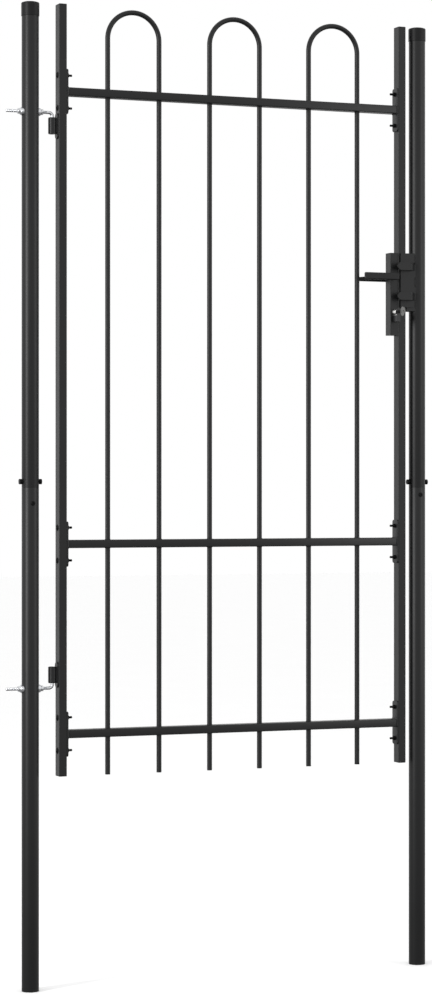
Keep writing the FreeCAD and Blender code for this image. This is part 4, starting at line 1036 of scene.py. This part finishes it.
class GATE_OT_leaf_welds(bpy.types.Operator):
    """Weld beads on the leaf: rails to end plates, hoops to rails, hinge barrels, lock case"""

    bl_idname = "gate.leaf_welds"
    bl_label = "Leaf welds"

    case_welds: bpy.props.IntProperty(
        name="Case welds", description="Short beads down each side of the lock case", default=4
    )

    def rail_welds(self, radius):
        """Round each rail's end, against its end plate."""
        for node in RAILS:
            rail = Extent(node)
            for x in (rail.low[0], rail.high[0]):
                centre = np.array([x, 0.0, rail.mid[2]])
                corner = gate_settings().rail_corner
                loop = loop_run(centre, rail.half[1], rail.half[2], corner)
                yield bead(loop, X_WAY, radius, closed=True)

    def hoop_welds(self, radius):
        """Round each bar where it passes a rail's upper and lower face: lighter beads."""
        for hoop in HOOPS:
            tube = Extent(hoop)
            bar = tube.half[1]
            for x in (tube.low[0] + bar, tube.high[0] - bar):
                for node in RAILS:
                    rail = Extent(node)
                    for z in (rail.low[2], rail.high[2]):
                        ring = ring_run(np.array([x, 0.0, z]), bar)
                        yield bead(ring, Z_WAY, radius * 0.8, closed=True)

    def hinge_welds(self, radius):
        """Two heavy beads up each barrel, and one round its plate against the upright."""
        for name in ("upper", "lower"):
            barrel = Extent(name + "_hinge_barrel")
            plate = Extent(name + "_barrel_plate")
            x = plate.low[0] - 0.6 * MM
            for side in (-1, 1):
                y = side * barrel.half[0] * 0.55
                run = upright_run(x, y, barrel.mid[2], barrel.half[2] - 2 * MM)
                yield bead(run, Y_WAY, radius * 1.5)
            centre = np.array([plate.high[0], 0.0, plate.mid[2]])
            half_y, half_z = plate.half[1] - 0.3 * MM, plate.half[2] - 0.3 * MM
            loop = loop_run(centre, half_y, half_z, plate.half[1] - 0.5 * MM)
            yield bead(loop, X_WAY, radius * 0.9, closed=True)

    def lock_welds(self, radius):
        """Short beads between the lock case and the upright, front and back."""
        case = Extent("lock_case")
        ends = (case.low[2] + 18 * MM, case.high[2] - 18 * MM)
        for z in np.linspace(*ends, self.case_welds):
            for y in (case.low[1], -case.low[1]):
                yield bead(upright_run(case.high[0], y, z, 11 * MM), Y_WAY, radius * 0.8)

    def execute(self, context):
        radius = gate_settings().weld_radius
        for welds in (self.rail_welds, self.hoop_welds, self.hinge_welds, self.lock_welds):
            make_piece(welds.__name__, list(welds(radius)), "leaf", "powder_coat")
        return {"FINISHED"}


class GATE_OT_keep_welds(bpy.types.Operator):
    """Weld beads between the keep's flanges and the lock post"""

    bl_idname = "gate.keep_welds"
    bl_label = "Keep welds"

    keep_welds: bpy.props.IntProperty(
        name="Keep welds", description="Short beads down each side of the keep", default=3
    )

    def execute(self, context):
        keep = Extent("keep_box")
        radius = gate_settings().weld_radius * 1.1
        x = keep.high[0] - 0.4 * MM
        ends = (keep.low[2] + 16 * MM, keep.high[2] - 16 * MM)
        surfaces = []
        for z in np.linspace(*ends, self.keep_welds):
            for side in (-1, 1):
                y = side * (keep.high[1] - 0.3 * MM)
                surfaces.append(bead(upright_run(x, y, z, 12 * MM), Y_WAY, radius))
        make_piece("keep_welds", surfaces, "frame", "powder_coat")
        return {"FINISHED"}


# --- Stage ------------------------------------------------------------------------------------

# Place in the room and size of each light's panel.
KEY_LIGHT = ((-4.6, -1.9, 2.2), (1.0, 3.6))
FILL_LIGHT = ((4.0, -3.0, 2.0), (1.5, 3.0))

# How far the floor runs, and between which heights of view the surround steps to the ground's tone.
FLOOR_REACH = 30.0
HORIZON = (-0.30, -0.06)


class GATE_OT_stage(bpy.types.Operator):
    """Pale floor, soft studio lights and the camera"""

    bl_idname = "gate.stage"
    bl_label = "Stage"

    def light(self, name, panel, target, power):
        """A rectangular panel of light that faces the target."""
        place, size = panel
        light = bpy.data.lights.new(name, "AREA")
        light.shape = "RECTANGLE"
        light.size, light.size_y = size
        light.energy = power
        lamp = bpy.data.objects.new(name, light)
        lamp.location = place
        facing = Vector(target) - Vector(place)
        lamp.rotation_euler = facing.to_track_quat("-Z", "Y").to_euler()
        bpy.context.scene.collection.objects.link(lamp)

    def surround(self, strength, ground_tone):
        """White all round and above, and a soft step to the ground's tone under the horizon."""
        world = bpy.data.worlds.new("surround")
        world.use_nodes = True
        tree = world.node_tree
        direction = tree.nodes.new("ShaderNodeTexCoord").outputs["Generated"]
        split = tree.nodes.new("ShaderNodeSeparateXYZ")
        step = tree.nodes.new("ShaderNodeMapRange")
        step.interpolation_type = "SMOOTHSTEP"
        step.inputs["From Min"].default_value = HORIZON[0]
        step.inputs["From Max"].default_value = HORIZON[1]
        step.inputs["To Min"].default_value = ground_tone
        tree.links.new(direction, split.inputs[0])
        tree.links.new(split.outputs["Z"], step.inputs["Value"])
        tree.links.new(step.outputs["Result"], tree.nodes["Background"].inputs["Color"])
        tree.nodes["Background"].inputs["Strength"].default_value = strength
        return world

    def floor(self, tone, level):
        """A wide pale plane with a faint mottle. It shows itself but throws no light or reflection
        back onto the gate."""
        r = FLOOR_REACH
        corners = [(-r, -r, level), (r, -r, level), (r, r, level), (-r, r, level)]
        mesh = bpy.data.meshes.new("floor")
        mesh.from_pydata(corners, [], [(0, 1, 2, 3)])
        maker = NodeMaker("stage_floor")
        mottle = maker.noise(maker.place(), 3.0, 3.0, 0.5)
        base = maker.blend(mottle, shade(tone, 0.99), shade(tone, 1.01))
        mesh.materials.append(maker.finish(Base_Color=base, Roughness=0.9))
        floor = bpy.data.objects.new("floor", mesh)
        floor.visible_diffuse = False
        floor.visible_glossy = False
        bpy.context.scene.collection.objects.link(floor)

    def camera(self, stage):
        """A level camera, turned from +Y towards +X."""
        camera = bpy.data.objects.new("camera", bpy.data.cameras.new("camera"))
        camera.data.sensor_width = 36.0
        camera.data.lens = stage.lens
        camera.data.shift_y = stage.shift
        camera.data.clip_end = 100.0
        ahead = Vector((math.sin(stage.camera_turn), math.cos(stage.camera_turn), 0.0))
        turn = ahead.to_track_quat("-Z", "Y").to_matrix().to_4x4()
        camera.matrix_world = Matrix.Translation(stage.camera_place) @ turn
        bpy.context.scene.collection.objects.link(camera)
        bpy.context.scene.camera = camera

    def execute(self, context):
        stage = stage_settings()
        scene = bpy.context.scene
        low, high = CAD_BOUNDS
        centre = (low + high) / 2
        self.floor(stage.floor_colour, low.z)
        scene.world = self.surround(stage.sky_strength, stage.ground_tone)
        scene.view_settings.view_transform = "Standard"
        self.light("key_light", KEY_LIGHT, centre, stage.key_power)
        self.light("fill_light", FILL_LIGHT, centre, stage.fill_power)
        self.camera(stage)
        return {"FINISHED"}


# --- Panel and start --------------------------------------------------------------------------

OPERATORS = (
    GATE_OT_finish_frame,
    GATE_OT_posts,
    GATE_OT_caps,
    GATE_OT_hinge_bolts,
    GATE_OT_hinge_nuts,
    GATE_OT_frame_bolts,
    GATE_OT_sleeve_fasteners,
    GATE_OT_hoops,
    GATE_OT_rails,
    GATE_OT_plugs,
    GATE_OT_leaf_welds,
    GATE_OT_keep_welds,
    GATE_OT_stage,
)


class GATE_PT_panel(bpy.types.Panel):
    """The gate's operators and settings"""

    bl_idname = "GATE_PT_panel"
    bl_label = "Garden gate"
    bl_space_type = "VIEW_3D"
    bl_region_type = "UI"
    bl_category = "Gate"

    def draw(self, context):
        for operator in OPERATORS:
            self.layout.operator(operator.bl_idname)
        for group in (gate_settings(), stage_settings()):
            for name in group.__annotations__:
                self.layout.prop(group, name)


CLASSES = (GateSettings, StageSettings, *OPERATORS, GATE_PT_panel)


def register():
    """Registers the classes and hangs the settings on the scene."""
    for cls in CLASSES:
        bpy.utils.register_class(cls)
    bpy.types.Scene.gate_settings = bpy.props.PointerProperty(type=GateSettings)
    bpy.types.Scene.gate_stage = bpy.props.PointerProperty(type=StageSettings)


def unregister():
    """Takes the settings and classes away again."""
    del bpy.types.Scene.gate_stage
    del bpy.types.Scene.gate_settings
    for cls in reversed(CLASSES):
        bpy.utils.unregister_class(cls)


def run(operator):
    """Calls an operator by its name through bpy.ops."""
    area, name = operator.bl_idname.split(".")
    getattr(getattr(bpy.ops, area), name)()


def main():
    """Makes the gate and its stage in order."""
    register()
    for operator in OPERATORS:
        run(operator)


if __name__ == "__main__":
    main()
